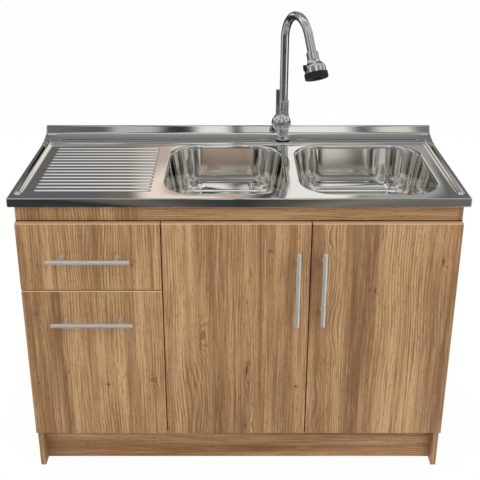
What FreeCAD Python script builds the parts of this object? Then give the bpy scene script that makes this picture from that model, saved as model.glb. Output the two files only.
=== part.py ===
import FreeCAD, Part
import Sketcher
import math
import os
import re

# Kitchen sink unit: a pressed steel sink with drainer and two bowls on a floor cabinet
# with two drawers and two doors.  Millimetres.  X runs left to right seen from the front,
# Y runs from front to back, Z = 0 is the floor.

Vector = FreeCAD.Vector
doc = FreeCAD.newDocument("SinkUnit")

# ---------------------------------------------------------------- driving dimensions
SIZES = {
    # pressed sink top
    "deck_width": 1200,
    "deck_depth": 500,
    "deck_height": 870,
    "sheet": 1,
    "fold_height": 24,
    "fold_radius": 3,
    "upstand_height": 37,
    "upstand_width": 10,
    "upstand_radius": 3,
    "cove_radius": 9,
    "ledge_depth": 79,
    "ledge_height": 6,
    "ledge_slope": 7,
    "ledge_radius": 5,
    "bead_width": 24,
    "bead_height": 6,
    "bead_margin": 11,
    "bead_start": 22,
    "rib_count": 15,
    "rib_width": 13,
    "rib_height": 3,
    "rib_start": 54,
    "rib_back_gap": 45,
    "rib_margin": 57,
    "rib_bowl_gap": 33,
    # bowls
    "left_bowl_width": 326,
    "right_bowl_width": 366,
    "right_bowl_margin": 65,
    "bowl_bridge": 42,
    "bowl_start": 33,
    "bowl_ledge_gap": 13,
    "bowl_depth": 140,
    "bowl_draft": 9,
    "bowl_corner": 88,
    "bowl_floor_radius": 35,
    "lip_radius": 9,
    "collar": 2,
    "seat_diameter": 116,
    "seat_depth": 3,
    # strainer wastes, baskets and drain pipes
    "flange_diameter": 112,
    "flange_thickness": 2,
    "strainer_diameter": 84,
    "strainer_depth": 32,
    "strainer_wall": 2,
    "stem_diameter": 49,
    "stem_bore": 40,
    "stem_length": 40,
    "waste_nut_diameter": 100,
    "waste_nut_height": 12,
    "thread_clearance": 0.3,
    "basket_diameter": 76,
    "basket_rim": 86,
    "basket_depth": 20,
    "basket_wall": 1.2,
    "basket_hole": 6,
    "basket_holes": 8,
    "basket_circle": 50,
    "knob_diameter": 14,
    "knob_height": 24,
    "knob_head": 8,
    "knob_neck": 6,
    "pipe_diameter": 40,
    "pipe_wall": 2,
    "pipe_nut_diameter": 56,
    "pipe_nut_height": 18,
    "cross_drop": 60,
    "trap_bend": 38,
    "trap_drop": 110,
    "outlet_rise": 80,
    "outlet_margin": 3,
    # tap
    "tap_shift": 11,
    "tap_back": 50,
    "tap_hole": 35,
    "tap_foot_diameter": 46,
    "tap_foot_height": 5,
    "tap_body_diameter": 34,
    "tap_body_height": 80,
    "tap_shank_diameter": 32,
    "tap_shank_length": 55,
    "tap_gasket": 2,
    "tap_nut_diameter": 42,
    "tap_nut_height": 10,
    "sleeve_diameter": 31,
    "sleeve_height": 42,
    "tube_diameter": 25,
    "tube_wall": 1.5,
    "tube_start": 20,
    "spigot_height": 16,
    "bend_rise": 320,
    "bend_radius": 80,
    "bend_sweep": 152,
    "tube_tail": 46,
    "spout_turn": 68,
    "socket_diameter": 34,
    "socket_length": 24,
    "head_diameter": 60,
    "head_length": 36,
    "grip_diameter": 66,
    "grip_length": 17,
    "nozzle_diameter": 24,
    "nozzle_drop": 3,
    "grip_flutes": 9,
    "flute_diameter": 9,
    "neck_length": 8,
    "neck_diameter": 40,
    "key_width": 13,
    "key_height": 18,
    "key_proud": 3,
    "key_depth": 6,
    "key_gap": 0.4,
    "key_level": 20,
    "key_turn": 270,
    "turn_gap": 0.35,
    "tap_bore": 20,
    "tap_bore_rise": 30,
    "tap_shoulder": 3,
    "cap_diameter": 58,
    "cap_wall": 4,
    "cap_tilt": 25,
    "cap_reach": 34,
    "cap_height": 47,
    "cap_turn": 15,
    "housing_neck": 36,
    "housing_bulge": 54,
    "housing_start": 17,
    "housing_end": 12,
    "housing_diameter": 44,
    "cartridge_diameter": 32,
    "cartridge_height": 8,
    "cartridge_stem": 9,
    "pivot_diameter": 4,
    "pivot_length": 14,
    "lever_width": 12,
    "lever_thickness": 8,
    "lever_length": 86,
    "lever_offset": 11,
    "lever_base": 18,
    "lever_round": 2,
    # boards
    "deck_overhang": 14,
    "board": 15,
    "back_board": 3,
    "back_rebate": 8,
    "rail_board": 12,
    "front_board": 15,
    "front_setback": 2,
    "front_relief": 2.5,
    "edge_round": 1,
    "carcass_inset": 12,
    "rail_reveal": 48,
    "rail_overlap": 15,
    "rail_tuck": 14,
    "rail_joint": 320,
    "rear_rail_height": 90,
    "plinth_height": 127,
    "plinth_setback": 36,
    "front_lift": 2,
    "divider_drop": 14,
    "divider_tuck": 1,
    "front_gap": 3,
    "top_front_height": 196,
    "row_gap": 4,
    "service_width": 320,
    "service_height": 260,
    "service_margin": 60,
    "service_sill": 240,
    # drawer boxes and slides
    "box_board": 12,
    "box_bottom": 4,
    "groove_depth": 5,
    "groove_height": 10,
    "box_rear_gap": 48,
    "top_box_height": 120,
    "lower_box_height": 200,
    "top_box_lift": 42,
    "lower_box_lift": 40,
    "slide_width": 12.7,
    "slide_short": 20,
    "slide_steel": 1.2,
    "slide_inset": 2,
    "rail_reach": 9,
    "rail_half": 22.5,
    "middle_half": 18.2,
    "inner_half": 13.9,
    "middle_web": 4.5,
    "middle_reach": 9.5,
    "middle_start": 1.7,
    "inner_reach": 6.2,
    "cage_start": 2.5,
    "cage_reach": 7.5,
    "cage_gap": 0.35,
    # bar handles
    "handle_diameter": 12,
    "handle_length": 220,
    "handle_centres": 148,
    "handle_standoff": 32,
    "handle_inset": 33,
    "handle_chamfer": 1,
    "post_diameter": 9,
    "post_ring": 13,
    "post_ring_height": 3,
    "screw_diameter": 4,
    "screw_clearance": 0.1,
    "screw_head": 8,
    "screw_head_height": 2.5,
    "screw_grip": 12,
    "top_handle_drop": 97,
    "lower_handle_drop": 88,
    "door_handle_drop": 71,
    # cup hinges
    "hinge_margin": 100,
    "cup_diameter": 35,
    "cup_wall": 0.8,
    "cup_depth": 11,
    "cup_edge": 5,
    "cup_clearance": 0.05,
    "wing_height": 50,
    "wing_width": 14,
    "wing_steel": 0.8,
    "arm_pin_inward": 42,
    "arm_pin_back": 23,
    "cup_pin_inward": 16.5,
    "cup_pin_back": 12,
    "pin_diameter": 3,
    "pin_clearance": 0.08,
    "link_eye": 2.7,
    "link_steel": 1.2,
    "link_width": 10,
    "cheek": 2,
    "cheek_gap": 0.5,
    "arm_depth": 10,
    "arm_length": 58,
    "arm_nose": 4,
    "arm_crank": 22,
    "plate_length": 36,
    "plate_height": 48,
    "plate_steel": 3,
}

sheet = doc.addObject("Spreadsheet::Sheet", "Sizes")
for row, (alias, size) in enumerate(SIZES.items(), start=1):
    sheet.set(f"A{row}", alias)
    sheet.set(f"B{row}", str(size))
    sheet.setAlias(f"B{row}", alias)
doc.recompute()

# ---------------------------------------------------------------- places worked out from them
# Each is a formula of driving dimensions and of the places above it.
PLACES = {
    "deck_front": "-(deck_depth + front_setback - handle_standoff - handle_diameter / 2) / 2",
    "deck_back": "deck_front + deck_depth",
    "fold_bottom": "deck_height - fold_height",
    "ledge_front": "deck_back - ledge_depth",
    "ledge_top": "deck_height + ledge_height",
    "upstand_front": "deck_back - upstand_width",
    "upstand_top": "deck_height + upstand_height",
    "right_bowl_x": "deck_width / 2 - right_bowl_margin - right_bowl_width / 2",
    "left_bowl_x": "right_bowl_x - right_bowl_width / 2 - bowl_bridge - left_bowl_width / 2",
    "bowl_length": "deck_depth - ledge_depth - bowl_start - bowl_ledge_gap",
    "bowl_y": "deck_front + bowl_start + bowl_length / 2",
    "rib_length": "left_bowl_x - left_bowl_width / 2 - rib_bowl_gap + deck_width / 2 - rib_margin",
    "rib_pitch": "(ledge_front - rib_back_gap - deck_front - rib_start) / (rib_count - 1)",
    "bowl_floor": "deck_height - bowl_depth",
    "collar_bottom": "deck_height - lip_radius - collar",
    "seat_floor": "bowl_floor - seat_depth",
    "tap_offset": "left_bowl_x + left_bowl_width / 2 + tap_shift",
    "tap_y": "deck_back - tap_back",
    "bend_height": "deck_height + bend_rise",
    "tap_top": "ledge_top + tap_gasket + tap_body_height",
    "spout_bottom": "tap_top + turn_gap",
    "front_face": "deck_front + front_setback",
    "front_back": "front_face + front_board",
    "carcass_front": "front_back + front_relief",
    "carcass_back": "deck_back - carcass_inset",
    "carcass_top": "deck_height - sheet",
    "panel_outer": "deck_width / 2 - deck_overhang",
    "panel_inner": "panel_outer - board",
    "back_face": "carcass_back - back_board",
    "fronts_top": "fold_bottom - rail_reveal",
    "fronts_bottom": "plinth_height + front_lift",
    "floor_top": "plinth_height + board",
    "rail_bottom": "fronts_top - rail_overlap",
    "rail_top": "fold_bottom + rail_tuck",
    "divider_right": "left_bowl_x - left_bowl_width / 2 + divider_tuck",
    "divider_left": "divider_right - board",
    "drawer_right": "divider_right - board / 2 - front_gap / 2",
    "drawer_front_width": "drawer_right + panel_outer",
    "divider_top": "carcass_top - divider_drop",
    "left_door_x": "drawer_right + front_gap",
    "door_width": "(panel_outer - left_door_x - front_gap) / 2",
    "right_door_x": "left_door_x + door_width + front_gap",
    "fronts_height": "fronts_top - fronts_bottom",
    "lower_front_height": "fronts_height - top_front_height - row_gap",
    "top_front_bottom": "fronts_top - top_front_height",
    "box_left": "-panel_inner + slide_width",
    "box_right": "divider_left - slide_width",
    "box_width": "box_right - box_left",
    "box_length": "back_face - box_rear_gap - front_back",
    "slide_length": "box_length - slide_short",
    "handle_y": "front_face - handle_standoff",
    "rear_rail_front": "back_face - rail_board",
    "hinge_low": "fronts_bottom + hinge_margin",
    "hinge_high": "fronts_top - hinge_margin",
    "strainer_radius": "strainer_diameter / 2",
    "stem_bottom": "seat_floor - strainer_depth - stem_length",
    "cross_level": "stem_bottom - cross_drop",
    "trap_top": "cross_level - pipe_nut_diameter",
    "trap_bottom": "trap_top - trap_drop",
    "outlet_level": "trap_bottom + outlet_rise",
    "tail_reach": "bend_radius * (1 - cos(bend_sweep)) + tube_tail * sin(bend_sweep)",
    "tail_level": "bend_height + bend_radius * sin(bend_sweep) + tube_tail * cos(bend_sweep)",
    "cap_x": "tap_offset - cap_reach * cos(cap_tilt) * sin(cap_turn)",
    "cap_y": "tap_y - cap_reach * cos(cap_tilt) * cos(cap_turn)",
    "cap_z": "ledge_top + tap_gasket + cap_height + cap_reach * sin(cap_tilt)",
    "slide_back": "carcass_front + slide_inset + slide_length",
    "cup_inward": "cup_edge + cup_diameter / 2",
    "link_span": "sqrt((arm_pin_inward - cup_pin_inward) ^ 2 + (arm_pin_back - cup_pin_back) ^ 2)",
    "link_side": "(arm_pin_back - cup_pin_back) / link_span * link_steel / 2",
    "link_rise": "(arm_pin_inward - cup_pin_inward) / link_span * link_steel / 2",
    "arm_half": "link_width / 2 + cheek_gap + cheek",
}

layout = doc.addObject("App::VarSet", "Layout")
WORD = re.compile(r"[a-z][a-z_]*")


def formula(text):
    """Point each name in the text at the sheet or the layout that holds it."""
    def owner(match):
        name = match.group()
        if name in SIZES:
            return "Sizes." + name
        if name in PLACES:
            return "Layout." + name
        return name
    return WORD.sub(owner, str(text))


for name, text in PLACES.items():
    layout.addProperty("App::PropertyFloat", name)
    layout.setExpression(name, formula(text))
gauge = doc.addObject("App::VarSet", "Gauge")
gauge.addProperty("App::PropertyFloat", "reading")
doc.recompute()


def measure(text):
    """The number that a formula gives now."""
    gauge.setExpression("reading", formula(text))
    gauge.recompute()
    return gauge.reading


def bind(item, settings):
    for prop, text in settings.items():
        item.setExpression(prop, formula(text))


def place(item, x=0, y=0, z=0):
    bind(item, {"Placement.Base.x": x, "Placement.Base.y": y, "Placement.Base.z": z})


# ---------------------------------------------------------------- ways of making a piece
pieces = {}


def keep(item, node):
    """Give the finished piece its node name."""
    item.Label = node
    pieces[node] = item
    return item


def block(name, corner, spans):
    """A plain box from its low corner and its three spans."""
    item = doc.addObject("Part::Box", name)
    bind(item, {"Length": spans[0], "Width": spans[1], "Height": spans[2]})
    place(item, *corner)
    return item


AXIS_TURN = {
    "x": FreeCAD.Rotation(Vector(0, 1, 0), 90),
    "y": FreeCAD.Rotation(Vector(1, 0, 0), -90),
    "z": FreeCAD.Rotation(),
}


def rod(name, start, axis, radius, length):
    """A cylinder from the centre of its first face."""
    item = doc.addObject("Part::Cylinder", name)
    item.Placement = FreeCAD.Placement(Vector(), AXIS_TURN[axis])
    bind(item, {"Radius": radius, "Height": length})
    place(item, *start)
    return item


def fuse(name, items):
    item = doc.addObject("Part::MultiFuse", name)
    item.Shapes = items
    return item


def cut(name, base, tool):
    item = doc.addObject("Part::Cut", name)
    item.Base = base
    item.Tool = tool
    return item


def group(name, items):
    """Separate solids that share one node."""
    item = doc.addObject("Part::Compound", name)
    item.Links = items
    return item


def outline(sketch, points):
    """A closed line through the points, each coordinate held by its own formula."""
    spots = [Vector(measure(across), measure(up), 0) for across, up in points]
    count = len(spots)
    for index, spot in enumerate(spots):
        sketch.addGeometry(Part.LineSegment(spot, spots[(index + 1) % count]), False)
    for index in range(count):
        sketch.addConstraint(Sketcher.Constraint("Coincident", index, 2, (index + 1) % count, 1))
    for index, (across, up) in enumerate(points):
        for kind, text, value in (("DistanceX", across, spots[index].x), ("DistanceY", up, spots[index].y)):
            held = sketch.addConstraint(Sketcher.Constraint(kind, -1, 1, index, 1, value))
            title = f"{kind}{index}"
            sketch.renameConstraint(held, title)
            bind(sketch, {"Constraints." + title: text})


def sketch_in(body, plane, points):
    sketch = body.newObject("Sketcher::SketchObject", body.Name + "Sketch")
    datum = next(item for item in body.Origin.OriginFeatures if item.Role == plane)
    sketch.AttachmentSupport = [(datum, "")]
    sketch.MapMode = "FlatFace"
    outline(sketch, points)
    return sketch


def turned(name, points, at=(0, 0, 0), turn=None):
    """A lathe-turned body: (radius, height) points spun round its own Z axis."""
    body = doc.addObject("PartDesign::Body", name)
    sketch = sketch_in(body, "XZ_Plane", points)
    spin = body.newObject("PartDesign::Revolution", name + "Spin")
    spin.Profile = sketch
    spin.ReferenceAxis = (sketch, ["V_Axis"])
    spin.Angle = 360
    sketch.Visibility = False
    if turn is not None:
        body.Placement = FreeCAD.Placement(Vector(), turn)
    place(body, *at)
    doc.recompute()
    return body


def padded(name, plane, points, length, at=(0, 0, 0)):
    """A drawn outline pushed out square to its plane."""
    body = doc.addObject("PartDesign::Body", name)
    sketch = sketch_in(body, plane, points)
    pad = body.newObject("PartDesign::Pad", name + "Pad")
    pad.Profile = sketch
    bind(pad, {"Length": length})
    place(body, *at)
    doc.recompute()
    return body


def edge_matches(edge, spot):
    """True when every sampled point of the edge has the coordinates of the spot."""
    first, last = edge.ParameterRange
    for part in (0.0, 0.37, 1.0):
        point = edge.valueAt(first + (last - first) * part)
        found = {"x": point.x, "y": point.y, "z": point.z, "r": math.hypot(point.x, point.y)}
        if any(abs(found[key] - value) > 0.02 for key, value in spot.items()):
            return False
    return True


def soften(body, radius, spots, kind="PartDesign::Fillet"):
    """Round or bevel the edges of the body that lie at the given spots."""
    values = [{key: measure(text) for key, text in spot.items()} for spot in spots]
    before = body.Tip
    names = [f"Edge{number}" for number, edge in enumerate(before.Shape.Edges, start=1)
             if any(edge_matches(edge, spot) for spot in values)]
    feature = body.newObject(kind, body.Name + "Soft")
    feature.Base = (before, names)
    bind(feature, {"Radius" if kind.endswith("Fillet") else "Size": radius})
    doc.recompute()
    return body


def part_fillet(name, base, radius, wanted):
    """Round the edges of a boolean's result that the test picks."""
    doc.recompute()
    size = measure(radius)
    item = doc.addObject("Part::Fillet", name)
    item.Base = base
    item.Edges = [(number, size, size) for number, edge in enumerate(base.Shape.Edges, start=1) if wanted(edge)]
    doc.recompute()
    return item


# ---------------------------------------------------------------- pressed sink top
def deck_form(name, skin):
    """The deck's cross-section along its whole width: skin 0 is the top surface, skin = sheet the underside."""
    shift = f"{skin} * sheet"
    points = [
        (f"deck_front + {shift}", f"fold_bottom - {shift}"),
        (f"deck_front + {shift}", f"deck_height - {shift}"),
        (f"ledge_front + {shift}", f"deck_height - {shift}"),
        (f"ledge_front + ledge_slope + {shift}", f"ledge_top - {shift}"),
        (f"upstand_front + {shift}", f"ledge_top - {shift}"),
        (f"upstand_front + {shift}", f"upstand_top - {shift}"),
        (f"deck_back - {shift}", f"upstand_top - {shift}"),
        (f"deck_back - {shift}", f"fold_bottom - {shift}"),
    ]
    left = f"-deck_width / 2 + {shift}"
    body = padded(name, "YZ_Plane", points, f"deck_width - 2 * {shift}", (left, 0, 0))
    soften(body, f"fold_radius - {shift}", [{"y": points[1][0], "z": points[1][1]}])
    soften(body, f"ledge_radius + {shift}", [{"y": points[2][0], "z": points[2][1]}])
    soften(body, f"ledge_radius - {shift}", [{"y": points[3][0], "z": points[3][1]}])
    soften(body, f"cove_radius + {shift}", [{"y": points[4][0], "z": points[4][1]}])
    outer = [{"y": points[5][0], "z": points[5][1]}, {"y": points[6][0], "z": points[6][1]}]
    return soften(body, f"upstand_radius - {shift}", outer)


def ridge(name, start, axis, length, width, height, skin):
    """A pressed half-round ridge with domed ends: a capsule sunk so that only its back shows."""
    radius = f"(({width}) ^ 2 / 4 + ({height}) ^ 2) / (2 * ({height}))"
    level = f"deck_height + {height} - {radius}"
    reach = f"sqrt(({radius}) ^ 2 - ({radius} - {height}) ^ 2)"
    size = f"{radius} - {skin} * sheet"
    x, y = start
    near = (f"{x} + {reach}", y, level) if axis == "x" else (x, f"{y} + {reach}", level)
    far = (f"{x} + {length} - {reach}", y, level) if axis == "x" else (x, f"{y} + {length} - {reach}", level)
    parts = [rod(name + "Back", near, axis, size, f"{length} - 2 * {reach}")]
    for end, spot in (("Near", near), ("Far", far)):
        dome = doc.addObject("Part::Sphere", name + end)
        bind(dome, {"Radius": size})
        place(dome, *spot)
        parts.append(dome)
    return parts


def raised_work(skin):
    """The drainer's ribs and the two side beads."""
    parts = []
    rib_left = "left_bowl_x - left_bowl_width / 2 - rib_bowl_gap - rib_length"
    for number in range(int(SIZES["rib_count"])):
        start = (rib_left, f"deck_front + rib_start + {number} * rib_pitch")
        parts += ridge(f"Rib{number}Skin{skin}", start, "x", "rib_length", "rib_width", "rib_height", skin)
    for side in ("-", "+"):
        start = (f"{side}(deck_width / 2 - bead_margin - bead_width / 2)", "deck_front + bead_start")
        length = "ledge_front + ledge_slope - deck_front - bead_start + bead_width / 2"
        parts += ridge("BeadSkin" + str(skin), start, "y", length, "bead_width", "bead_height", skin)
    return parts


def rounded_frame(sketch, width, length, corner):
    """A rectangle with round corners about the sketch's origin."""
    half_w = measure(width) / 2
    half_l = measure(length) / 2
    radius = measure(corner)
    corners = [(1, 1, 0), (-1, 1, 90), (-1, -1, 180), (1, -1, 270)]
    for across, up, start in corners:
        centre = Vector(across * (half_w - radius), up * (half_l - radius), 0)
        circle = Part.Circle(centre, Vector(0, 0, 1), radius)
        sketch.addGeometry(Part.ArcOfCircle(circle, math.radians(start), math.radians(start + 90)), False)
    for index in range(4):
        ahead = (index + 1) % 4
        begin = sketch.Geometry[index].EndPoint
        finish = sketch.Geometry[ahead].StartPoint
        sketch.addGeometry(Part.LineSegment(begin, finish), False)
    for index in range(4):
        line = index + 4
        sketch.addConstraint(Sketcher.Constraint("Tangent", index, 2, line, 1))
        sketch.addConstraint(Sketcher.Constraint("Tangent", line, 2, (index + 1) % 4, 1))
    for index in (1, 2, 3):
        sketch.addConstraint(Sketcher.Constraint("Equal", 0, index))
    sketch.addConstraint(Sketcher.Constraint("Horizontal", 4))
    held = {
        "Corner": ("Radius", (0,), radius, corner),
        "HalfWidth": ("DistanceX", (-1, 1, 7, 2), half_w, f"({width}) / 2"),
        "HalfLength": ("DistanceY", (-1, 1, 4, 1), half_l, f"({length}) / 2"),
        "LeftWidth": ("DistanceX", (-1, 1, 5, 1), -half_w, f"-({width}) / 2"),
        "NearLength": ("DistanceY", (-1, 1, 6, 1), -half_l, f"-({length}) / 2"),
    }
    for title, (kind, where, value, text) in held.items():
        number = sketch.addConstraint(Sketcher.Constraint(kind, *where, value))
        sketch.renameConstraint(number, title)
        bind(sketch, {"Constraints." + title: text})


def bowl_form(name, side, skin):
    """A drafted bowl with a round floor edge and a sunk strainer seat: the cavity, or the cavity plus the sheet."""
    grow = f"{skin} * sheet"
    width = f"{side}_bowl_width + 2 * {grow}"
    depth = f"bowl_depth + {grow}"
    sketch = doc.addObject("Sketcher::SketchObject", name + "Rim")
    rounded_frame(sketch, width, f"bowl_length + 2 * {grow}", f"bowl_corner + {grow}")
    place(sketch, f"{side}_bowl_x", "bowl_y", "deck_height")
    doc.recompute()
    body = doc.addObject("Part::Extrusion", name + "Wall")
    body.Base = sketch
    body.DirMode = "Custom"
    body.Dir = Vector(0, 0, -1)
    body.Solid = True
    bind(body, {"LengthFwd": depth, "TaperAngle": "-bowl_draft"})
    floor = measure(f"deck_height - ({depth})")
    rounded = part_fillet(name + "Floor", body, f"bowl_floor_radius + {grow}",
                          lambda edge: all(abs(point.Z - floor) < 0.02 for point in edge.Vertexes))
    seat = rod(name + "Seat", (f"{side}_bowl_x", "bowl_y", f"seat_floor - {grow}"), "z",
               f"seat_diameter / 2 + {grow}", "seat_depth + bowl_floor_radius / 2")
    return fuse(name, [rounded, seat])


cavities = {side: bowl_form(side.title() + "Cavity", side, 0) for side in ("left", "right")}
shells = {side: bowl_form(side.title() + "Outside", side, 1) for side in ("left", "right")}
doc.recompute()

upper = fuse("DeckUpper", [deck_form("UpperForm", 0)] + raised_work(0))
opened = cut("DeckOpened", upper, fuse("Cavities", list(cavities.values())))
deck_level = measure("deck_height")


def on_rim(level, grow):
    """Test for the edges of a bowl's mouth at one level."""
    boxes = []
    for side in ("left", "right"):
        half_w = measure(f"{side}_bowl_width / 2") + grow
        half_l = measure("bowl_length / 2") + grow
        boxes.append((measure(f"{side}_bowl_x"), half_w, measure("bowl_y"), half_l))

    def wanted(edge):
        box = edge.BoundBox
        if box.ZLength > 0.05 or abs(box.ZMax - level) > 0.05:
            return False
        return any(abs(box.Center.x - x) <= half_w + 0.1 and abs(box.Center.y - y) <= half_l + 0.1
                   and box.XMax < x + half_w + 0.2 and box.XMin > x - half_w - 0.2
                   for x, half_w, y, half_l in boxes)
    return wanted


lipped = part_fillet("DeckLipped", opened, "lip_radius", on_rim(deck_level, 0))
lower = fuse("DeckLower", [deck_form("LowerForm", 1)] + raised_work(1))
hollow = cut("DeckHollow", lower, fuse("Outsides", list(shells.values())))
void = part_fillet("DeckVoid", hollow, "lip_radius - sheet", on_rim(measure("deck_height - sheet"), measure("sheet")))
under = block("DeckUnder", ("-deck_width / 2 + sheet", "deck_front + sheet", "fold_bottom - sheet"),
              ("deck_width - 2 * sheet", "deck_depth - 2 * sheet", "collar_bottom - fold_bottom + sheet"))
skinned = cut("DeckSkinned", lipped, void)
trimmed = cut("DeckTrimmed", skinned, under)
tap_bore = rod("TapHole", ("tap_offset", "tap_y", "deck_height - fold_height"), "z", "tap_hole / 2", "2 * fold_height")
keep(cut("SinkDeck", trimmed, tap_bore), "sink_deck")

for side in ("left", "right"):
    title = side.title()
    shell = cut(title + "Shell", shells[side], cavities[side])
    crown = block(title + "Crown", (f"{side}_bowl_x - deck_width / 2", "deck_front - deck_depth", "collar_bottom"),
                  ("deck_width", "3 * deck_depth", "fold_height"))
    drain = rod(title + "Drain", (f"{side}_bowl_x", "bowl_y", "seat_floor - 2 * sheet"), "z",
                "strainer_diameter / 2 + thread_clearance", "4 * sheet")
    keep(cut(title + "Bowl", shell, fuse(title + "BowlTools", [crown, drain])), f"{side}_bowl")
doc.recompute()


# ---------------------------------------------------------------- strainer wastes and baskets
def ring_points(inner, outer, low, high):
    return [(inner, low), (outer, low), (outer, high), (inner, high)]


nuts = []
for side in ("left", "right"):
    title = side.title()
    centre = (f"{side}_bowl_x", "bowl_y", "seat_floor")
    stem_end = "-strainer_depth - stem_length"
    waste = turned(title + "Waste", [
        ("flange_diameter / 2", 0),
        ("flange_diameter / 2", "flange_thickness"),
        ("strainer_radius - strainer_wall", "flange_thickness"),
        ("strainer_radius - strainer_wall", "-strainer_depth"),
        ("stem_bore / 2", "-strainer_depth"),
        ("stem_bore / 2", stem_end),
        ("stem_diameter / 2", stem_end),
        ("stem_diameter / 2", "-strainer_depth - strainer_wall"),
        ("strainer_radius", "-strainer_depth - strainer_wall"),
        ("strainer_radius", 0),
    ], centre)
    keep(soften(waste, "flange_thickness / 2", [{"r": "flange_diameter / 2", "z": "flange_thickness"}]), f"{side}_waste")
    nuts.append(turned(title + "WasteNut", ring_points("strainer_radius + thread_clearance", "waste_nut_diameter / 2",
                                                       "-sheet - waste_nut_height", "-sheet"), centre))
    low = "flange_thickness - basket_depth"
    basket = turned(title + "Basket", [
        (0, low),
        ("basket_diameter / 2", low),
        ("basket_diameter / 2", "flange_thickness"),
        ("basket_rim / 2", "flange_thickness"),
        ("basket_rim / 2", "flange_thickness + basket_wall"),
        ("basket_diameter / 2 - basket_wall", "flange_thickness + basket_wall"),
        ("basket_diameter / 2 - basket_wall", f"{low} + basket_wall"),
        ("knob_neck / 2", f"{low} + basket_wall"),
        ("knob_neck / 2", f"{low} + knob_height - knob_head"),
        ("knob_diameter / 2", f"{low} + knob_height - knob_head"),
        ("knob_diameter / 2", f"{low} + knob_height"),
        (0, f"{low} + knob_height"),
    ], centre)
    holes = []
    for number in range(int(SIZES["basket_holes"])):
        angle = f"{number} * 360 / basket_holes"
        spot = (f"{side}_bowl_x + basket_circle / 2 * cos({angle})", f"bowl_y + basket_circle / 2 * sin({angle})",
                f"seat_floor + {low} - basket_wall")
        holes.append(rod(f"{title}BasketHole{number}", spot, "z", "basket_hole / 2", "3 * basket_wall"))
    keep(cut(title + "BasketPierced", basket, fuse(title + "BasketHoles", holes)), f"{side}_basket")


# ---------------------------------------------------------------- drain pipes
def run_wire(points, bend):
    """Straight runs through the points, joined by tangent arcs of one radius."""
    spots = [Vector(*(measure(value) for value in point)) for point in points]
    radius = measure(bend)
    edges = []
    start = spots[0]
    for before, corner, after in zip(spots, spots[1:], spots[2:]):
        back = (before - corner).normalize()
        ahead = (after - corner).normalize()
        turn = math.pi - back.getAngle(ahead)
        trim = radius * math.tan(turn / 2)
        enter = corner + back * trim
        leave = corner + ahead * trim
        middle = (back + ahead).normalize()
        top = corner + middle * (radius / math.cos(turn / 2) - radius)
        if (enter - start).Length > 0.01:
            edges.append(Part.LineSegment(start, enter).toShape())
        edges.append(Part.Arc(enter, top, leave).toShape())
        start = leave
    edges.append(Part.LineSegment(start, spots[-1]).toShape())
    return Part.Wire(edges)


def swept(wire, radius):
    first = wire.Edges[0]
    ring = Part.Circle(first.valueAt(first.FirstParameter), first.tangentAt(first.FirstParameter), radius)
    return wire.makePipeShell([Part.Wire([ring.toShape()])], True, True)


def bent_tube(name, wires, outer, wall):
    """A tube bent along each wire, the runs opened into one another."""
    solid = [swept(wire, measure(outer) / 2) for wire in wires]
    bore = [swept(wire, measure(outer) / 2 - measure(wall)) for wire in wires]
    outside = solid[0].multiFuse(solid[1:]) if len(solid) > 1 else solid[0]
    inside = bore[0].multiFuse(bore[1:]) if len(bore) > 1 else bore[0]
    item = doc.addObject("Part::Feature", name)
    item.Shape = outside.cut(inside)
    return item


cross = run_wire([("left_bowl_x", "bowl_y", "stem_bottom"), ("left_bowl_x", "bowl_y", "cross_level"),
                  ("right_bowl_x", "bowl_y", "cross_level")], "trap_bend")
down = run_wire([("right_bowl_x", "bowl_y", "stem_bottom"), ("right_bowl_x", "bowl_y", "trap_top")], "trap_bend")
keep(bent_tube("DrainManifold", [cross, down], "pipe_diameter", "pipe_wall"), "drain_manifold")
trap_x = "right_bowl_x + 2 * trap_bend"
trap = run_wire([("right_bowl_x", "bowl_y", "trap_top"), ("right_bowl_x", "bowl_y", "trap_bottom"),
                 (trap_x, "bowl_y", "trap_bottom"), (trap_x, "bowl_y", "outlet_level"),
                 (trap_x, "deck_back - outlet_margin", "outlet_level")], "trap_bend")
keep(bent_tube("DrainTrap", [trap], "pipe_diameter", "pipe_wall"), "drain_trap")
for number, (x, level, above) in enumerate((("left_bowl_x", "stem_bottom", "stem_diameter"),
                                            ("right_bowl_x", "stem_bottom", "stem_diameter"),
                                            ("right_bowl_x", "trap_top", "pipe_diameter"))):
    narrow = "pipe_diameter / 2 + thread_clearance"
    wide = f"{above} / 2 + thread_clearance"
    points = [(narrow, "-pipe_nut_height / 2"), ("pipe_nut_diameter / 2", "-pipe_nut_height / 2"),
              ("pipe_nut_diameter / 2", "pipe_nut_height / 2"), (wide, "pipe_nut_height / 2")]
    if above != "pipe_diameter":
        points += [(wide, 0), (narrow, 0)]
    nuts.append(turned(f"PipeNut{number}", points, (x, "bowl_y", level)))
keep(group("DrainNuts", nuts), "drain_nuts")


# ---------------------------------------------------------------- tap
tap_foot = ("tap_offset", "tap_y", "ledge_top + tap_gasket")
column = turned("TapColumn", [
    ("tap_bore / 2", "-tap_shank_length"),
    ("tap_shank_diameter / 2", "-tap_shank_length"),
    ("tap_shank_diameter / 2", 0),
    ("tap_foot_diameter / 2", 0),
    ("tap_foot_diameter / 2", "tap_foot_height"),
    ("tap_body_diameter / 2", "tap_foot_height + tap_shoulder"),
    ("tap_body_diameter / 2", "tap_body_height"),
    ("tube_diameter / 2", "tap_body_height"),
    ("tube_diameter / 2", "tap_body_height + spigot_height"),
    (0, "tap_body_height + spigot_height"),
    (0, "tap_bore_rise"),
    ("tap_bore / 2", "tap_bore_rise"),
], tap_foot)
soften(column, "tap_shoulder", [{"r": "tap_body_diameter / 2", "z": "tap_body_height"}])
facing = FreeCAD.Rotation(Vector(0, 0, 1), -measure("cap_turn"))
cap_turn = facing.multiply(FreeCAD.Rotation(Vector(1, 0, 0), 90 - measure("cap_tilt")))
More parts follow.
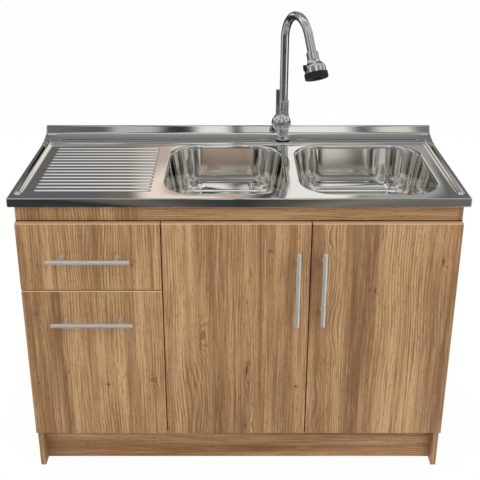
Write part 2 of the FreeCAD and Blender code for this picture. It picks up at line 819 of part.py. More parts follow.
housing = turned("CartridgeHousing", [
    (0, "-cap_reach"),
    ("housing_neck / 2", "-cap_reach"),
    ("housing_neck / 2", "-housing_start - tap_shoulder"),
    ("housing_bulge / 2", "-housing_start"),
    ("housing_bulge / 2", "-housing_end"),
    ("housing_diameter / 2", "-housing_end + tap_shoulder"),
    ("housing_diameter / 2", "-cartridge_height / 2"),
    (0, "-cartridge_height / 2"),
], ("cap_x", "cap_y", "cap_z"), cap_turn)
soften(housing, "tap_shoulder / 2", [{"r": "housing_bulge / 2", "z": "-housing_start"}, {"r": "housing_bulge / 2", "z": "-housing_end"}])
keep(fuse("TapBody", [column, housing]), "tap_body")
gasket = turned("TapGasket", ring_points("tap_shank_diameter / 2 + thread_clearance", "tap_foot_diameter / 2",
                                         "-tap_gasket", 0), tap_foot)
back_nut = turned("TapNut", ring_points("tap_shank_diameter / 2 + thread_clearance", "tap_nut_diameter / 2",
                                        "-tap_gasket - sheet - tap_nut_height", "-tap_gasket - sheet"), tap_foot)
keep(group("TapFixings", [gasket, back_nut]), "tap_fixings")
cap_centre = ("cap_x", "cap_y", "cap_z")
keep(turned("Cartridge", ring_points("pivot_length / 2 + turn_gap", "cartridge_diameter / 2",
                                     "-cartridge_height / 2", "cartridge_height / 2"), cap_centre, cap_turn), "mixing_cartridge")


def dome(name, radius):
    half = doc.addObject("Part::Sphere", name)
    half.Placement = FreeCAD.Placement(Vector(), cap_turn)
    half.Angle1 = 0
    bind(half, {"Radius": radius})
    place(half, *cap_centre)
    return half


keep(cut("TapCap", dome("CapOutside", "cap_diameter / 2"), dome("CapInside", "cap_diameter / 2 - cap_wall")), "tap_cap")
# The stem reaches up to the dome from the cross pin on which the lever tips.
shaft = turned("StemShaft", [(0, 0), ("cartridge_stem / 2", 0), ("cartridge_stem / 2", "cap_diameter / 2 - cap_wall"),
                             (0, "cap_diameter / 2 - cap_wall")], cap_centre, cap_turn)
trimmed = doc.addObject("Part::Common", "StemTrimmed")
trimmed.Base = shaft
trimmed.Tool = dome("StemSpace", "cap_diameter / 2 - cap_wall")
pivot = turned("PivotPin", [(0, "-pivot_length / 2"), ("pivot_diameter / 2", "-pivot_length / 2"),
                            ("pivot_diameter / 2", "pivot_length / 2"), (0, "pivot_length / 2")],
               cap_centre, cap_turn.multiply(AXIS_TURN["x"]))
keep(fuse("CartridgeStem", [trimmed, pivot]), "cartridge_stem")
lever_low = ("cap_x - lever_offset - lever_width / 2", "cap_y - lever_thickness / 2", "cap_z + lever_base")
lever_bar = block("LeverBar", lever_low, ("lever_width", "lever_thickness", "lever_length"))
lever_soft = part_fillet("LeverSoft", lever_bar, "lever_round",
                         lambda edge: edge.BoundBox.ZMax > lever_bar.Shape.BoundBox.ZMin + 1)
seat = doc.addObject("Part::Sphere", "LeverSeat")
bind(seat, {"Radius": "cap_diameter / 2"})
place(seat, "cap_x", "cap_y", "cap_z")
keep(cut("TapLever", lever_soft, seat), "tap_lever")

keep(turned("SpoutSleeve", ring_points("tube_diameter / 2 + pin_clearance", "sleeve_diameter / 2", 0, "sleeve_height"),
            ("tap_offset", "tap_y", "spout_bottom")), "spout_sleeve")
soften(pieces["spout_sleeve"], "tap_shoulder / 2", [{"r": "sleeve_diameter / 2", "z": "sleeve_height"}])
spout_turn = FreeCAD.Rotation(Vector(0, 0, 1), -measure("spout_turn"))
tail_turn = spout_turn.multiply(FreeCAD.Rotation(Vector(0, 1, 0), measure("bend_sweep")))


def bend_point(angle):
    """A point of the swan neck's arc, the given degrees past its start."""
    radius = measure("bend_radius")
    return Vector(radius * (1 - math.cos(math.radians(angle))), 0,
                  measure("bend_height") + radius * math.sin(math.radians(angle)))


sweep = measure("bend_sweep")
riser = Part.LineSegment(Vector(0, 0, measure("spout_bottom + tube_start")), bend_point(0))
neck = Part.Arc(bend_point(0), bend_point(sweep / 2), bend_point(sweep))
tail = Part.LineSegment(bend_point(sweep), Vector(measure("tail_reach"), 0, measure("tail_level")))
tube_wire = Part.Wire([riser.toShape(), neck.toShape(), tail.toShape()])
tube = bent_tube("SwanNeck", [tube_wire], "tube_diameter", "tube_wall")
tube.Placement = FreeCAD.Placement(Vector(measure("tap_offset"), measure("tap_y"), 0), spout_turn)


def tail_spot(along):
    """The place on the spray head's axis, a distance past the end of the tube."""
    reach = f"(tail_reach + ({along}) * sin(bend_sweep))"
    return (f"tap_offset + {reach} * cos(spout_turn)", f"tap_y - {reach} * sin(spout_turn)",
            f"tail_level + ({along}) * cos(bend_sweep)")


collar = turned("SpraySocket", [
    ("tube_diameter / 2 - tube_wall", 0), ("tube_diameter / 2", 0), ("socket_diameter / 2", "tap_shoulder"),
    ("socket_diameter / 2", "socket_length"), ("tube_diameter / 2 - tube_wall", "socket_length")],
    tail_spot(0), tail_turn)
keep(fuse("SpoutTube", [tube, collar]), "spout_tube")
head_start = "socket_length + turn_gap"
head = turned("SprayBody", [
    (0, 0), ("socket_diameter / 2", 0), ("neck_diameter / 2", "neck_length"),
    ("head_diameter / 2", "head_length / 2"), ("head_diameter / 2", "head_length"), (0, "head_length")],
    tail_spot(head_start), tail_turn)
soften(head, "neck_length", [{"r": "neck_diameter / 2", "z": "neck_length"}])
soften(head, "neck_length", [{"r": "head_diameter / 2", "z": "head_length / 2"}])
key_turn = tail_turn.multiply(FreeCAD.Rotation(Vector(0, 0, 1), measure("key_turn")))


def key_block(name, width, height, start, depth):
    """An oblong across the head's side: width round it, height along it, from start outwards."""
    item = doc.addObject("Part::Box", name)
    bind(item, {"Length": depth, "Width": width, "Height": height})
    doc.recompute()
    offset = key_turn.multVec(Vector(measure(start), -measure(width) / 2, -measure(height) / 2))
    centre = Vector(*(measure(value) for value in tail_spot(f"{head_start} + key_level")))
    item.Placement = FreeCAD.Placement(centre + offset, key_turn)
    radius = f"({width}) / 2.1"
    corner = lambda edge: abs(abs(edge.tangentAt(edge.FirstParameter).dot(key_turn.multVec(Vector(1, 0, 0)))) - 1) < 0.01
    return part_fillet(name + "Oval", item, radius, corner)


key_root = "head_diameter / 2 - key_depth"
recess = key_block("KeyRecess", "key_width + 2 * key_gap", "key_height + 2 * key_gap", key_root, "2 * key_depth")
keep(cut("SprayHead", head, recess), "spray_head")
key_start = f"{key_root} + key_depth / 2"
keep(key_block("SprayKey", "key_width", "key_height", key_start, "key_depth / 2 + key_proud"), "spray_button")
grip_start = f"{head_start} + head_length"
grip = turned("GripRing", ring_points("nozzle_diameter / 2 + turn_gap", "grip_diameter / 2", 0, "grip_length"),
              tail_spot(grip_start), tail_turn)
soften(grip, "tap_shoulder", [{"r": "grip_diameter / 2", "z": "grip_length"}])
flutes = []
for number in range(int(SIZES["grip_flutes"])):
    angle = number * 360 / measure("grip_flutes")
    flute = doc.addObject("Part::Cylinder", f"Flute{number}")
    bind(flute, {"Radius": "flute_diameter / 2", "Height": "2 * grip_length"})
    across = tail_turn.multiply(FreeCAD.Rotation(Vector(0, 0, 1), angle))
    offset = across.multVec(Vector(measure("grip_diameter / 2 + flute_diameter / 4"), 0, -measure("grip_length / 2")))
    centre = Vector(*(measure(value) for value in tail_spot(grip_start)))
    flute.Placement = FreeCAD.Placement(centre + offset, across)
    flutes.append(flute)
fluted = cut("FlutedRing", grip, fuse("Flutes", flutes))
nozzle = turned("SprayNozzle", [(0, 0), ("nozzle_diameter / 2", 0), ("nozzle_diameter / 2", "grip_length + nozzle_drop"),
                                (0, "grip_length + nozzle_drop")], tail_spot(grip_start), tail_turn)
keep(group("SprayGrip", [fluted, nozzle]), "spray_grip")
doc.recompute()


# ---------------------------------------------------------------- cabinet boards
carcass_depth = "carcass_back - carcass_front"
for side, low, rebate_low in (("left", "-panel_outer", "-panel_inner - back_rebate"), ("right", "panel_inner", "panel_inner")):
    board = block(side.title() + "EndBoard", (low, "carcass_front", 0), ("board", carcass_depth, "carcass_top"))
    rebate = block(side.title() + "EndRebate", (rebate_low, "back_face", "plinth_height"),
                   ("back_rebate", "2 * back_board", "carcass_top"))
    keep(cut(side.title() + "EndPanel", board, rebate), f"{side}_end_panel")
inner_width = "2 * panel_inner"
keep(block("BottomPanel", ("-panel_inner", "carcass_front", "plinth_height"),
           (inner_width, "back_face - carcass_front", "board")), "bottom_panel")
keep(block("Plinth", ("-panel_inner", "carcass_front + plinth_setback", 0), (inner_width, "board", "plinth_height")), "plinth")
keep(block("RearRail", ("-panel_inner", "rear_rail_front", "carcass_top - rear_rail_height"),
           (inner_width, "rail_board", "rear_rail_height")), "rear_rail")
rail_size = ("rail_board", "rail_top - rail_bottom")
keep(block("DrawerBayRail", ("-panel_inner", "carcass_front", "rail_bottom"), ("rail_joint",) + rail_size), "drawer_bay_rail")
keep(block("SinkBayRail", ("rail_joint - panel_inner", "carcass_front", "rail_bottom"),
           (f"{inner_width} - rail_joint",) + rail_size), "sink_bay_rail")
keep(padded("DividerPanel", "YZ_Plane", [
    ("carcass_front", "floor_top"),
    ("back_face", "floor_top"),
    ("back_face", "carcass_top - rear_rail_height"),
    ("rear_rail_front", "carcass_top - rear_rail_height"),
    ("rear_rail_front", "divider_top"),
    ("carcass_front + rail_board", "divider_top"),
    ("carcass_front + rail_board", "rail_bottom"),
    ("carcass_front", "rail_bottom"),
], "board", ("divider_left", 0, 0)), "divider_panel")
back = block("BackBoard", ("-panel_inner - back_rebate", "back_face", "plinth_height"),
             (f"{inner_width} + 2 * back_rebate", "back_board", "carcass_top - plinth_height"))
service = block("ServiceOpening", ("panel_inner - service_margin - service_width", "back_face - back_board",
                                   "floor_top + service_sill"), ("service_width", "3 * back_board", "service_height"))
keep(cut("BackPanel", back, service), "back_panel")


# ---------------------------------------------------------------- ball-bearing slides
def member(name, side, points, level):
    """One slide member: a cross-section of (distance from the board, height) points run along the slide."""
    face, sign = ("-panel_inner", "+") if side == "left" else ("divider_left", "-")
    places = [(f"{face} {sign} ({across})", f"{level} + ({up})") for across, up in points]
    return padded(name, "XZ_Plane", places, "slide_length", (0, "slide_back", 0))


def mirrored(points):
    """The upper half of a cross-section followed by its mirror image below."""
    return points + [(across, f"-({up})") for across, up in reversed(points)]


CABINET_MEMBER = mirrored([(0, "rail_half"), ("rail_reach", "rail_half"), ("rail_reach", "rail_half - slide_steel"),
                           ("slide_steel", "rail_half - slide_steel")])
MIDDLE_MEMBER = mirrored([
    ("middle_start", "middle_half - slide_steel"),
    ("middle_start", "middle_half"),
    ("cage_start", "middle_half"),
    ("cage_start", "rail_half - slide_steel - cage_gap"),
    ("cage_reach", "rail_half - slide_steel - cage_gap"),
    ("cage_reach", "middle_half"),
    ("middle_reach", "middle_half"),
    ("middle_reach", "inner_half + cage_gap"),
    ("middle_reach - (cage_reach - cage_start) / 2", "inner_half + cage_gap"),
    ("middle_reach - (cage_reach - cage_start) / 2", "middle_half - slide_steel"),
    ("middle_web + slide_steel", "middle_half - slide_steel"),
])
middle_low = [("middle_web", "-(middle_half - slide_steel)"), ("middle_web", "middle_half - slide_steel")]
MIDDLE_MEMBER += middle_low
INNER_MEMBER = mirrored([("inner_reach", "inner_half - slide_steel"), ("inner_reach", "inner_half"), ("slide_width", "inner_half")])
inner_web = "slide_width - slide_steel"
INNER_MEMBER += [(inner_web, "-(inner_half - slide_steel)"), (inner_web, "inner_half - slide_steel")]
cabinet_members = []


# ---------------------------------------------------------------- bar handles
def bar_handle(name, node, centre, along):
    """A round bar on two posts, each with a ring at its foot and a tapped bore for its screw."""
    x, z = centre
    half = "handle_length / 2"
    bar = turned(name + "Bar", [(0, f"-{half}"), ("handle_diameter / 2", f"-{half}"), ("handle_diameter / 2", half), (0, half)],
                 (x, "handle_y", z), AXIS_TURN[along])
    ends = [{"r": "handle_diameter / 2", "z": f"-{half}"}, {"r": "handle_diameter / 2", "z": half}]
    parts = [soften(bar, "handle_chamfer", ends, "PartDesign::Chamfer")]
    bores = []
    screws = []
    for number, sign in enumerate("-+"):
        shift = f"{sign} handle_centres / 2"
        post_x = f"{x} {shift}" if along == "x" else x
        post_z = f"{z} {shift}" if along == "z" else z
        parts.append(rod(f"{name}Post{number}", (post_x, "handle_y", post_z), "y", "post_diameter / 2", "handle_standoff"))
        parts.append(rod(f"{name}Ring{number}", (post_x, "front_face - post_ring_height", post_z), "y", "post_ring / 2",
                         "post_ring_height"))
        bore_radius = "screw_diameter / 2 + screw_clearance"
        bores.append(rod(f"{name}Bore{number}", (post_x, "front_face - screw_grip - screw_clearance", post_z), "y",
                         bore_radius, "screw_grip + 2 * front_board + box_board"))
        screws.append((post_x, post_z))
    keep(cut(name, fuse(name + "Whole", parts), fuse(name + "Bores", bores)), node)
    return bores, screws


def handle_screws(name, node, spots, inner_face):
    """Pan-head screws from the inner face through into the handle's posts."""
    solids = []
    for number, (x, z) in enumerate(spots):
        tip = "front_face - screw_grip"
        shank = rod(f"{name}Shank{number}", (x, tip, z), "y", "screw_diameter / 2", f"{inner_face} - ({tip})")
        head = rod(f"{name}Head{number}", (x, inner_face, z), "y", "screw_head / 2", "screw_head_height")
        solids.append(fuse(f"{name}Screw{number}", [shank, head]))
    keep(group(name, solids), node)


def faced(name, corner, spans):
    """A veneered front with its outer edges rounded."""
    board = block(name, corner, spans)
    face = measure("front_face")
    return part_fillet(name + "Rounded", board, "edge_round",
                       lambda edge: all(abs(point.Y - face) < 0.01 for point in edge.Vertexes))


# ---------------------------------------------------------------- drawers
DRAWERS = (
    ("top", "top_front_bottom", "top_front_height", "top_box_lift", "top_box_height", "top_handle_drop",
     "front_back + box_board"),
    ("lower", "fronts_bottom", "lower_front_height", "lower_box_lift", "lower_box_height", "lower_handle_drop",
     "front_back"),
)
for kind, low, height, lift, box_height, drop, inner_face in DRAWERS:
    title = kind.title()
    handle_spot = ("drawer_right - drawer_front_width / 2", f"{low} + {height} - {drop}")
    bores, spots = bar_handle(title + "Handle", f"{kind}_drawer_handle", handle_spot, "x")
    holes = fuse(title + "HandleHoles", bores)
    front = faced(title + "Face", ("-panel_outer", "front_face", low), ("drawer_front_width", "front_board", height))
    keep(cut(title + "Front", front, holes), f"{kind}_drawer_front")
    base = f"{low} + {lift}"
    groove = f"{base} + groove_height"
    tray = (("box_left + box_board - groove_depth", "front_back + box_board - groove_depth", groove),
            ("box_width - 2 * (box_board - groove_depth)", "box_length - 2 * (box_board - groove_depth)", "box_bottom"))
    keep(block(title + "Tray", *tray), f"{kind}_drawer_bottom")
    between = "box_width - 2 * box_board"
    inner = block(title + "InnerBoard", ("box_left + box_board", "front_back", base), (between, "box_board", box_height))
    tools = fuse(title + "InnerTools", [holes, block(title + "InnerGroove", *tray)])
    ends = [cut(title + "Inner", inner, tools)]
    sides = []
    for side, start in (("left", "box_left"), ("right", "box_right - box_board")):
        board = block(f"{title}{side}Board", (start, "front_back", base), ("box_board", "box_length", box_height))
        sides.append(cut(f"{title}{side}Side", board, block(f"{title}{side}Groove", *tray)))
    keep(group(title + "Sides", sides), f"{kind}_drawer_sides")
    rear = block(title + "RearBoard", ("box_left + box_board", "front_back + box_length - box_board", base),
                 (between, "box_board", box_height))
    ends.append(cut(title + "Rear", rear, block(title + "RearGroove", *tray)))
    keep(group(title + "Ends", ends), f"{kind}_drawer_ends")
    handle_screws(title + "HandleScrews", f"{kind}_drawer_screws", spots, inner_face)
    level = f"{base} + {box_height} / 2"
    for side in ("left", "right"):
        cabinet_members.append(member(f"{title}{side}Cabinet", side, CABINET_MEMBER, level))
    for part, profile in (("runners", MIDDLE_MEMBER), ("slides", INNER_MEMBER)):
        pair = [member(f"{title}{side}{part}", side, profile, level) for side in ("left", "right")]
        keep(group(title + part.title(), pair), f"{kind}_drawer_{part}")
keep(group("RunnerRails", cabinet_members), "runner_rails")


# ---------------------------------------------------------------- doors and cup hinges
def cup_hinge(name, edge, sign, face, level):
    """One concealed hinge: the cup in the door, the link between two pins, and the arm on its mounting plate."""
    cup_x = f"{edge} {sign} cup_inward"
    cup_pin_x = f"{edge} {sign} cup_pin_inward"
    arm_pin_x = f"{edge} {sign} arm_pin_inward"
    cup_pin_y = "front_face + cup_pin_back"
    arm_pin_y = "front_face + arm_pin_back"
    cup_floor = "front_back - cup_depth"
    socket = rod(name + "Bore", (cup_x, cup_floor, level), "y", "cup_diameter / 2 + cup_clearance", "2 * cup_depth")
    shell = turned(name + "Shell", [
        (0, 0), ("cup_diameter / 2", 0), ("cup_diameter / 2", "cup_depth"),
        ("cup_diameter / 2 - cup_wall", "cup_depth"), ("cup_diameter / 2 - cup_wall", "cup_wall"), (0, "cup_wall"),
    ], (cup_x, cup_floor, level), AXIS_TURN["y"])
    wing = block(name + "WingPlate", (f"{cup_x} - wing_width / 2", "front_back", f"{level} - wing_height / 2"),
                 ("wing_width", "wing_steel", "wing_height"))
    mouth = rod(name + "Mouth", (cup_x, cup_floor, level), "y", "cup_diameter / 2 - cup_wall", "2 * cup_depth")
    chord = "sqrt((cup_diameter / 2 - cup_wall / 2) ^ 2 - (cup_inward - cup_pin_inward) ^ 2)"
    pin = rod(name + "CupPin", (cup_pin_x, cup_pin_y, f"{level} - {chord}"), "z", "pin_diameter / 2", f"2 * {chord}")
    cup = fuse(name + "Cup", [shell, cut(name + "Wings", wing, mouth), pin])

    half = "link_width / 2"
    bottom = f"{level} - {half}"
    side_x = "link_side" if sign == "+" else "-link_side"
    strap = padded(name + "Strap", "XY_Plane", [
        (f"{cup_pin_x} + {side_x}", f"{cup_pin_y} - link_rise"),
        (f"{arm_pin_x} + {side_x}", f"{arm_pin_y} - link_rise"),
        (f"{arm_pin_x} - {side_x}", f"{arm_pin_y} + link_rise"),
        (f"{cup_pin_x} - {side_x}", f"{cup_pin_y} + link_rise"),
    ], "link_width", (0, 0, bottom))
    eyes = [rod(name + "CupEye", (cup_pin_x, cup_pin_y, bottom), "z", "link_eye", "link_width"),
            rod(name + "ArmEye", (arm_pin_x, arm_pin_y, bottom), "z", "link_eye", "link_width")]
    bore_radius = "pin_diameter / 2 + pin_clearance"
    bores = [rod(name + "CupEyeBore", (cup_pin_x, cup_pin_y, f"{bottom} - 1"), "z", bore_radius, "link_width + 2"),
             rod(name + "ArmEyeBore", (arm_pin_x, arm_pin_y, f"{bottom} - 1"), "z", bore_radius, "link_width + 2")]
    link = cut(name + "Link", fuse(name + "LinkWhole", [strap] + eyes), fuse(name + "LinkBores", bores))

    near = f"{face} {sign} plate_steel"
    far = f"{near} {sign} arm_depth"
    shift = "arm_nose * cos(45)"
    rear = f"{arm_pin_y} + arm_length"
    crank = f"{arm_pin_y} + arm_crank"
    other = "-" if sign == "+" else "+"
    arm_form = padded(name + "ArmForm", "XY_Plane", [
        (near, rear), (near, crank),
        (f"{arm_pin_x} {other} {shift}", f"{arm_pin_y} - {shift}"),
        (f"{arm_pin_x} {sign} {shift}", f"{arm_pin_y} + {shift}"),
        (far, crank), (far, rear),
    ], "2 * arm_half", (0, 0, f"{level} - arm_half"))
    nose = rod(name + "Nose", (arm_pin_x, arm_pin_y, f"{level} - arm_half"), "z", "arm_nose", "2 * arm_half")
    channel = padded(name + "Channel", "XY_Plane", [
        (face, f"{rear} + arm_nose"), (face, f"{arm_pin_y} - 2 * arm_nose"),
        (f"{arm_pin_x} {sign} 2 * arm_nose", f"{arm_pin_y} - 2 * arm_nose"),
        (f"{arm_pin_x} {sign} 2 * arm_nose", crank),
        (f"{far} {other} cheek", crank), (f"{far} {other} cheek", f"{rear} + arm_nose"),
    ], "2 * (arm_half - cheek)", (0, 0, f"{level} - arm_half + cheek"))
    hollow = cut(name + "ArmHollow", fuse(name + "ArmWhole", [arm_form, nose]), channel)
    arm_pin = rod(name + "ArmPin", (arm_pin_x, arm_pin_y, f"{level} - arm_half"), "z", "pin_diameter / 2", "2 * arm_half")
    plate_low = face if sign == "+" else f"{face} - plate_steel"
    plate = block(name + "Plate", (plate_low, f"{rear} - plate_length", f"{level} - plate_height / 2"),
                  ("plate_steel", "plate_length", "plate_height"))
    return socket, cup, link, fuse(name + "Arm", [hollow, arm_pin, plate])


DOORS = (
    ("left", "left_door_x", "left_door_x", "+", "divider_right", "left_door_x + door_width - handle_inset"),
    ("right", "right_door_x", "right_door_x + door_width", "-", "panel_inner", "right_door_x + handle_inset"),
)
for kind, low_x, edge, sign, face, handle_x in DOORS:
    title = kind.title() + "Door"
    handle_spot = (handle_x, "fronts_top - door_handle_drop - handle_length / 2")
    bores, spots = bar_handle(title + "Handle", f"{kind}_door_handle", handle_spot, "z")
    hinges = [cup_hinge(f"{title}{number}", edge, sign, face, level) for number, level in enumerate(("hinge_low", "hinge_high"))]
    board = faced(title + "Face", (low_x, "front_face", "fronts_bottom"), ("door_width", "front_board", "fronts_height"))
    tools = fuse(title + "Holes", bores + [hinge[0] for hinge in hinges])
    keep(cut(title, board, tools), f"{kind}_door_panel")
    handle_screws(title + "Screws", f"{kind}_door_screws", spots, "front_back")
    for index, part in enumerate(("cups", "links", "arms"), start=1):
        keep(group(title + part.title(), [hinge[index] for hinge in hinges]), f"{kind}_hinge_{part}")


# ---------------------------------------------------------------- checks and files
os.makedirs("parts", exist_ok=True)
doc.recompute()
for item in doc.Objects:
    if "Invalid" in item.State or "Error" in item.State:
        raise SystemExit(f"{item.Label} failed: {item.State}")
for node, item in pieces.items():
    shape = item.Shape
    if shape.isNull() or not shape.isValid():
        raise SystemExit(f"{node} has no sound shape")
for node, item in pieces.items():
    item.Shape.exportStep(f"parts/{node}.step")
print(len(pieces), "pieces written")
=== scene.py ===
import math
import bmesh
import bpy
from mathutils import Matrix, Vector


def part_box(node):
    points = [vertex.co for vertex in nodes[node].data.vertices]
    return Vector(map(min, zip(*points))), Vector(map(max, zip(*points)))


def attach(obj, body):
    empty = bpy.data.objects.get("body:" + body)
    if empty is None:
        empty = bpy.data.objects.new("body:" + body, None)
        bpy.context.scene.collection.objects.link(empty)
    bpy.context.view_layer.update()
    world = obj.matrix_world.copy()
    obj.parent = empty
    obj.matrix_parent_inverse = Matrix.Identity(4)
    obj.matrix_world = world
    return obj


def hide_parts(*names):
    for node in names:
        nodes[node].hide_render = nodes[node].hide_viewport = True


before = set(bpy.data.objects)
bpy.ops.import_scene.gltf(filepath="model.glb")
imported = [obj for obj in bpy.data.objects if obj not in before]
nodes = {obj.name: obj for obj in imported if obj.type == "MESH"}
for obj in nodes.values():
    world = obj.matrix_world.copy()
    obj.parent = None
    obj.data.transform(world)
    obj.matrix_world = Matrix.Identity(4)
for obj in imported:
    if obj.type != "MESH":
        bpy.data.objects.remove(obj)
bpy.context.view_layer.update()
print("frame loaded:", len(nodes), "nodes")


# Lengths are millimetres, angles degrees and colours sRGB hex, except where a comment says otherwise.
def toLinear(code):
    channels = [int(code[i:i + 2], 16) / 255 for i in (1, 3, 5)]
    return tuple(c / 12.92 if c <= 0.04045 else ((c + 0.055) / 1.055) ** 2.4 for c in channels) + (1.0,)


def fillBand(band, stops):  # stops are (place, colour), from the band's low end to its high end
    for element, (place, code) in zip((band[0], band[1]), (stops[0], stops[-1])):
        element.position, element.color = place, toLinear(code)
    for place, code in stops[1:-1]:
        band.new(place).color = toLinear(code)


def addNode(tree, kind, settings=None, links=None):  # a link's source is a socket or a node
    node = tree.nodes.new("ShaderNode" + kind)
    for key, value in (settings or {}).items():
        if key == "stops":
            fillBand(node.color_ramp.elements, value)
        elif isinstance(key, int) or key in node.inputs:
            node.inputs[key].default_value = value
        else:
            setattr(node, key, value)
    for key, source in (links or {}).items():
        tree.links.new(source.outputs[0] if hasattr(source, "outputs") else source, node.inputs[key])
    return node


def emptyTree(owner):
    owner.use_nodes = True
    owner.node_tree.nodes.clear()
    return owner.node_tree


def newMaterial(name):
    material = bpy.data.materials.new(name)
    tree = emptyTree(material)
    shader = addNode(tree, "BsdfPrincipled")
    addNode(tree, "OutputMaterial", links={"Surface": shader})
    return material, tree, shader


def dress(material, *names):
    for name in names:
        mesh = nodes[name].data
        mesh.materials.clear()
        mesh.materials.append(material)


def tidyMesh(mesh, weld):
    work = bmesh.new()
    work.from_mesh(mesh)
    bmesh.ops.remove_doubles(work, verts=work.verts, dist=weld)
    bmesh.ops.dissolve_degenerate(work, edges=work.edges, dist=weld / 2)
    bmesh.ops.recalc_face_normals(work, faces=work.faces)
    for face in work.faces:
        face.smooth = True
    work.to_mesh(mesh)
    work.free()


def meshPiece(name, patches, material, weld=0.00002):  # a patch is rows of points, all of one length
    mesh = bpy.data.meshes.new(name)
    points, faces = [], []
    for rows in patches:
        start, width = len(points), len(rows[0])
        for row in rows:
            points.extend(row)
        for i in range(len(rows) - 1):
            for j in range(width - 1):
                a = start + i * width + j
                faces.append((a, a + 1, a + width + 1, a + width))
    mesh.from_pydata([tuple(v / 1000 for v in p) for p in points], [], faces)
    piece = bpy.data.objects.new(name, mesh)
    bpy.context.scene.collection.objects.link(piece)
    tidyMesh(mesh, weld)
    mesh.materials.append(material)
    return piece


def arc(centre, radius, begin, end, steps):
    turns = [math.radians(begin + (end - begin) * i / steps) for i in range(steps + 1)]
    return [(centre[0] + radius * math.cos(turn), centre[1] + radius * math.sin(turn)) for turn in turns]


def spread(*stretches):  # places along a line, from stretches of (low, high, step)
    values = []
    for low, high, step in stretches:
        count = max(1, round((high - low) / step))
        values += [low + (high - low) * i / count for i in range(count)]
    return values + [stretches[-1][1]]


def between(a, b, share):
    return tuple(p + (q - p) * share for p, q in zip(a, b))


def roundedPath(corners, steps=8):  # corners are (y, z, radius)
    path = [corners[0][:2]]
    for before, here, after in zip(corners, corners[1:], corners[2:]):
        p, radius = Vector(here[:2]), here[2]
        a, b = (Vector(before[:2]) - p).normalized(), (Vector(after[:2]) - p).normalized()
        turn = math.pi - a.angle(b)
        trim = radius * math.tan(turn / 2)
        centre = p + (a + b).normalized() * (radius / math.cos(turn / 2))
        begin, end = p + a * trim - centre, p + b * trim - centre
        path += [tuple(centre + begin.slerp(end, i / steps)) for i in range(steps + 1)]
    return path + [corners[-1][:2]]


# Stainless steel, cold rolled, pressed and buffed: mirror-like, with the slow waver of thin sheet.
steelLook = {"tint": "#e2dfda", "roughness": 0.055, "waveLength": 170, "waveDepth": 0.5,
             "grainWidth": 1.2, "grainLength": 80}


def polishedMetal(name, look, grainAxis=0):  # fine lines along one axis change how sharp the mirror is
    material, tree, shader = newMaterial(name)
    place = addNode(tree, "TexCoord").outputs["Object"]
    wave = addNode(tree, "TexNoise", {"Scale": 1000 / look["waveLength"], "Detail": 1.0, "Roughness": 0.4},
                   {"Vector": place})
    scale = [1000 / look["grainWidth"]] * 3
    scale[grainAxis] = 1000 / look["grainLength"]
    stretch = addNode(tree, "Mapping", {"Scale": scale}, {"Vector": place})
    grain = addNode(tree, "TexNoise", {"Scale": 1.0, "Detail": 2.0}, {"Vector": stretch})
    waver = addNode(tree, "Bump", {"Strength": 1.0, "Distance": look["waveDepth"] / 1000},
                    {"Height": wave})
    rough = addNode(tree, "MapRange", {"From Min": 0.3, "From Max": 0.7, "To Min": look["roughness"] * 0.75,
                    "To Max": look["roughness"] * 1.35}, {"Value": grain})
    shader.inputs["Base Color"].default_value = toLinear(look["tint"])
    shader.inputs["Metallic"].default_value = look.get("metallic", 1.0)
    tree.links.new(rough.outputs[0], shader.inputs["Roughness"])
    tree.links.new(waver.outputs[0], shader.inputs["Normal"])
    return material


steel = polishedMetal("polishedStainlessSteel", steelLook)

# The sink top is one pressed sheet with ribs, side beads, a rear ledge, an upstand and two bowls.
top = {
    "front": -232, "back": 268, "side": 600, "level": 870, "hem": 846, "edgeRadius": 3,
    "ledgeFront": 189, "ledgeSlope": 7, "ledgeTop": 876, "ledgeRadius": 5,
    "valleyDepth": 1.6, "valleyMargin": 13, "valleyEnd": 572, "valleyFade": 26, "tapX": 138, "tapPad": 45,
    "upstandFront": 258, "upstandTop": 907, "coveRadius": 9,
    "ribCount": 15, "ribPitch": 23, "ribStart": 54, "ribLeft": -543, "ribLength": 311, "ribWidth": 15,
    "ribHeight": 3, "hemLip": 9,
    "beadX": 577, "beadWidth": 26, "beadHeight": 6, "beadStart": 22, "beadEnd": 208, "beadOverrun": 20,
    "bowlY": -11.5, "bowlLength": 375, "corner": 88, "depth": 140, "draft": 9, "lip": 9, "floorRadius": 35,
    "seat": 58, "seatDepth": 3, "drainHole": 46, "bowls": ((-36, 326), (352, 366)), "split": 148,
    "flatLeft": -228, "flatRight": 553, "flatBack": 186,
    # the dished rim round each waste: outward from its seat, down from the floor
    "seatRim": ((4, 0), (2.5, -0.4), (1, -1.6), (-0.6, -2.7)), "seatFlat": -2.5,
    # steps of the mesh
    "fineStep": 1.5, "rowStep": 1.25, "coarseStep": 9, "ledgeStep": 2.5, "ribEnd": 15, "ledgeReach": 530,
    "ledgeCoarse": 20, "tapSpan": (40, 240), "tapStep": 8, "longRun": 20, "cuts": 12, "cornerReach": 60,
    "edgeTurn": 15,
}


def ridge(distance, width, height):
    return height * 0.5 * (1 + math.cos(math.tau * distance / width)) if distance < width / 2 else 0.0


def raised(x, y):
    t = top
    low = t["front"] + t["beadStart"] + t["beadWidth"] / 2
    high = t["beadEnd"] + t["beadOverrun"] - t["beadWidth"] / 2
    found = ridge(math.hypot(abs(x) - t["beadX"], max(low - y, 0, y - high)), t["beadWidth"], t["beadHeight"])
    number = round((y - t["front"] - t["ribStart"]) / t["ribPitch"])
    if 0 <= number < t["ribCount"]:
        half = t["ribWidth"] / 2
        gap = max(t["ribLeft"] + half - x, 0, x - t["ribLeft"] - t["ribLength"] + half)
        level = t["front"] + t["ribStart"] + number * t["ribPitch"]
        found = max(found, ridge(math.hypot(gap, y - level), t["ribWidth"], t["ribHeight"]))
    return found


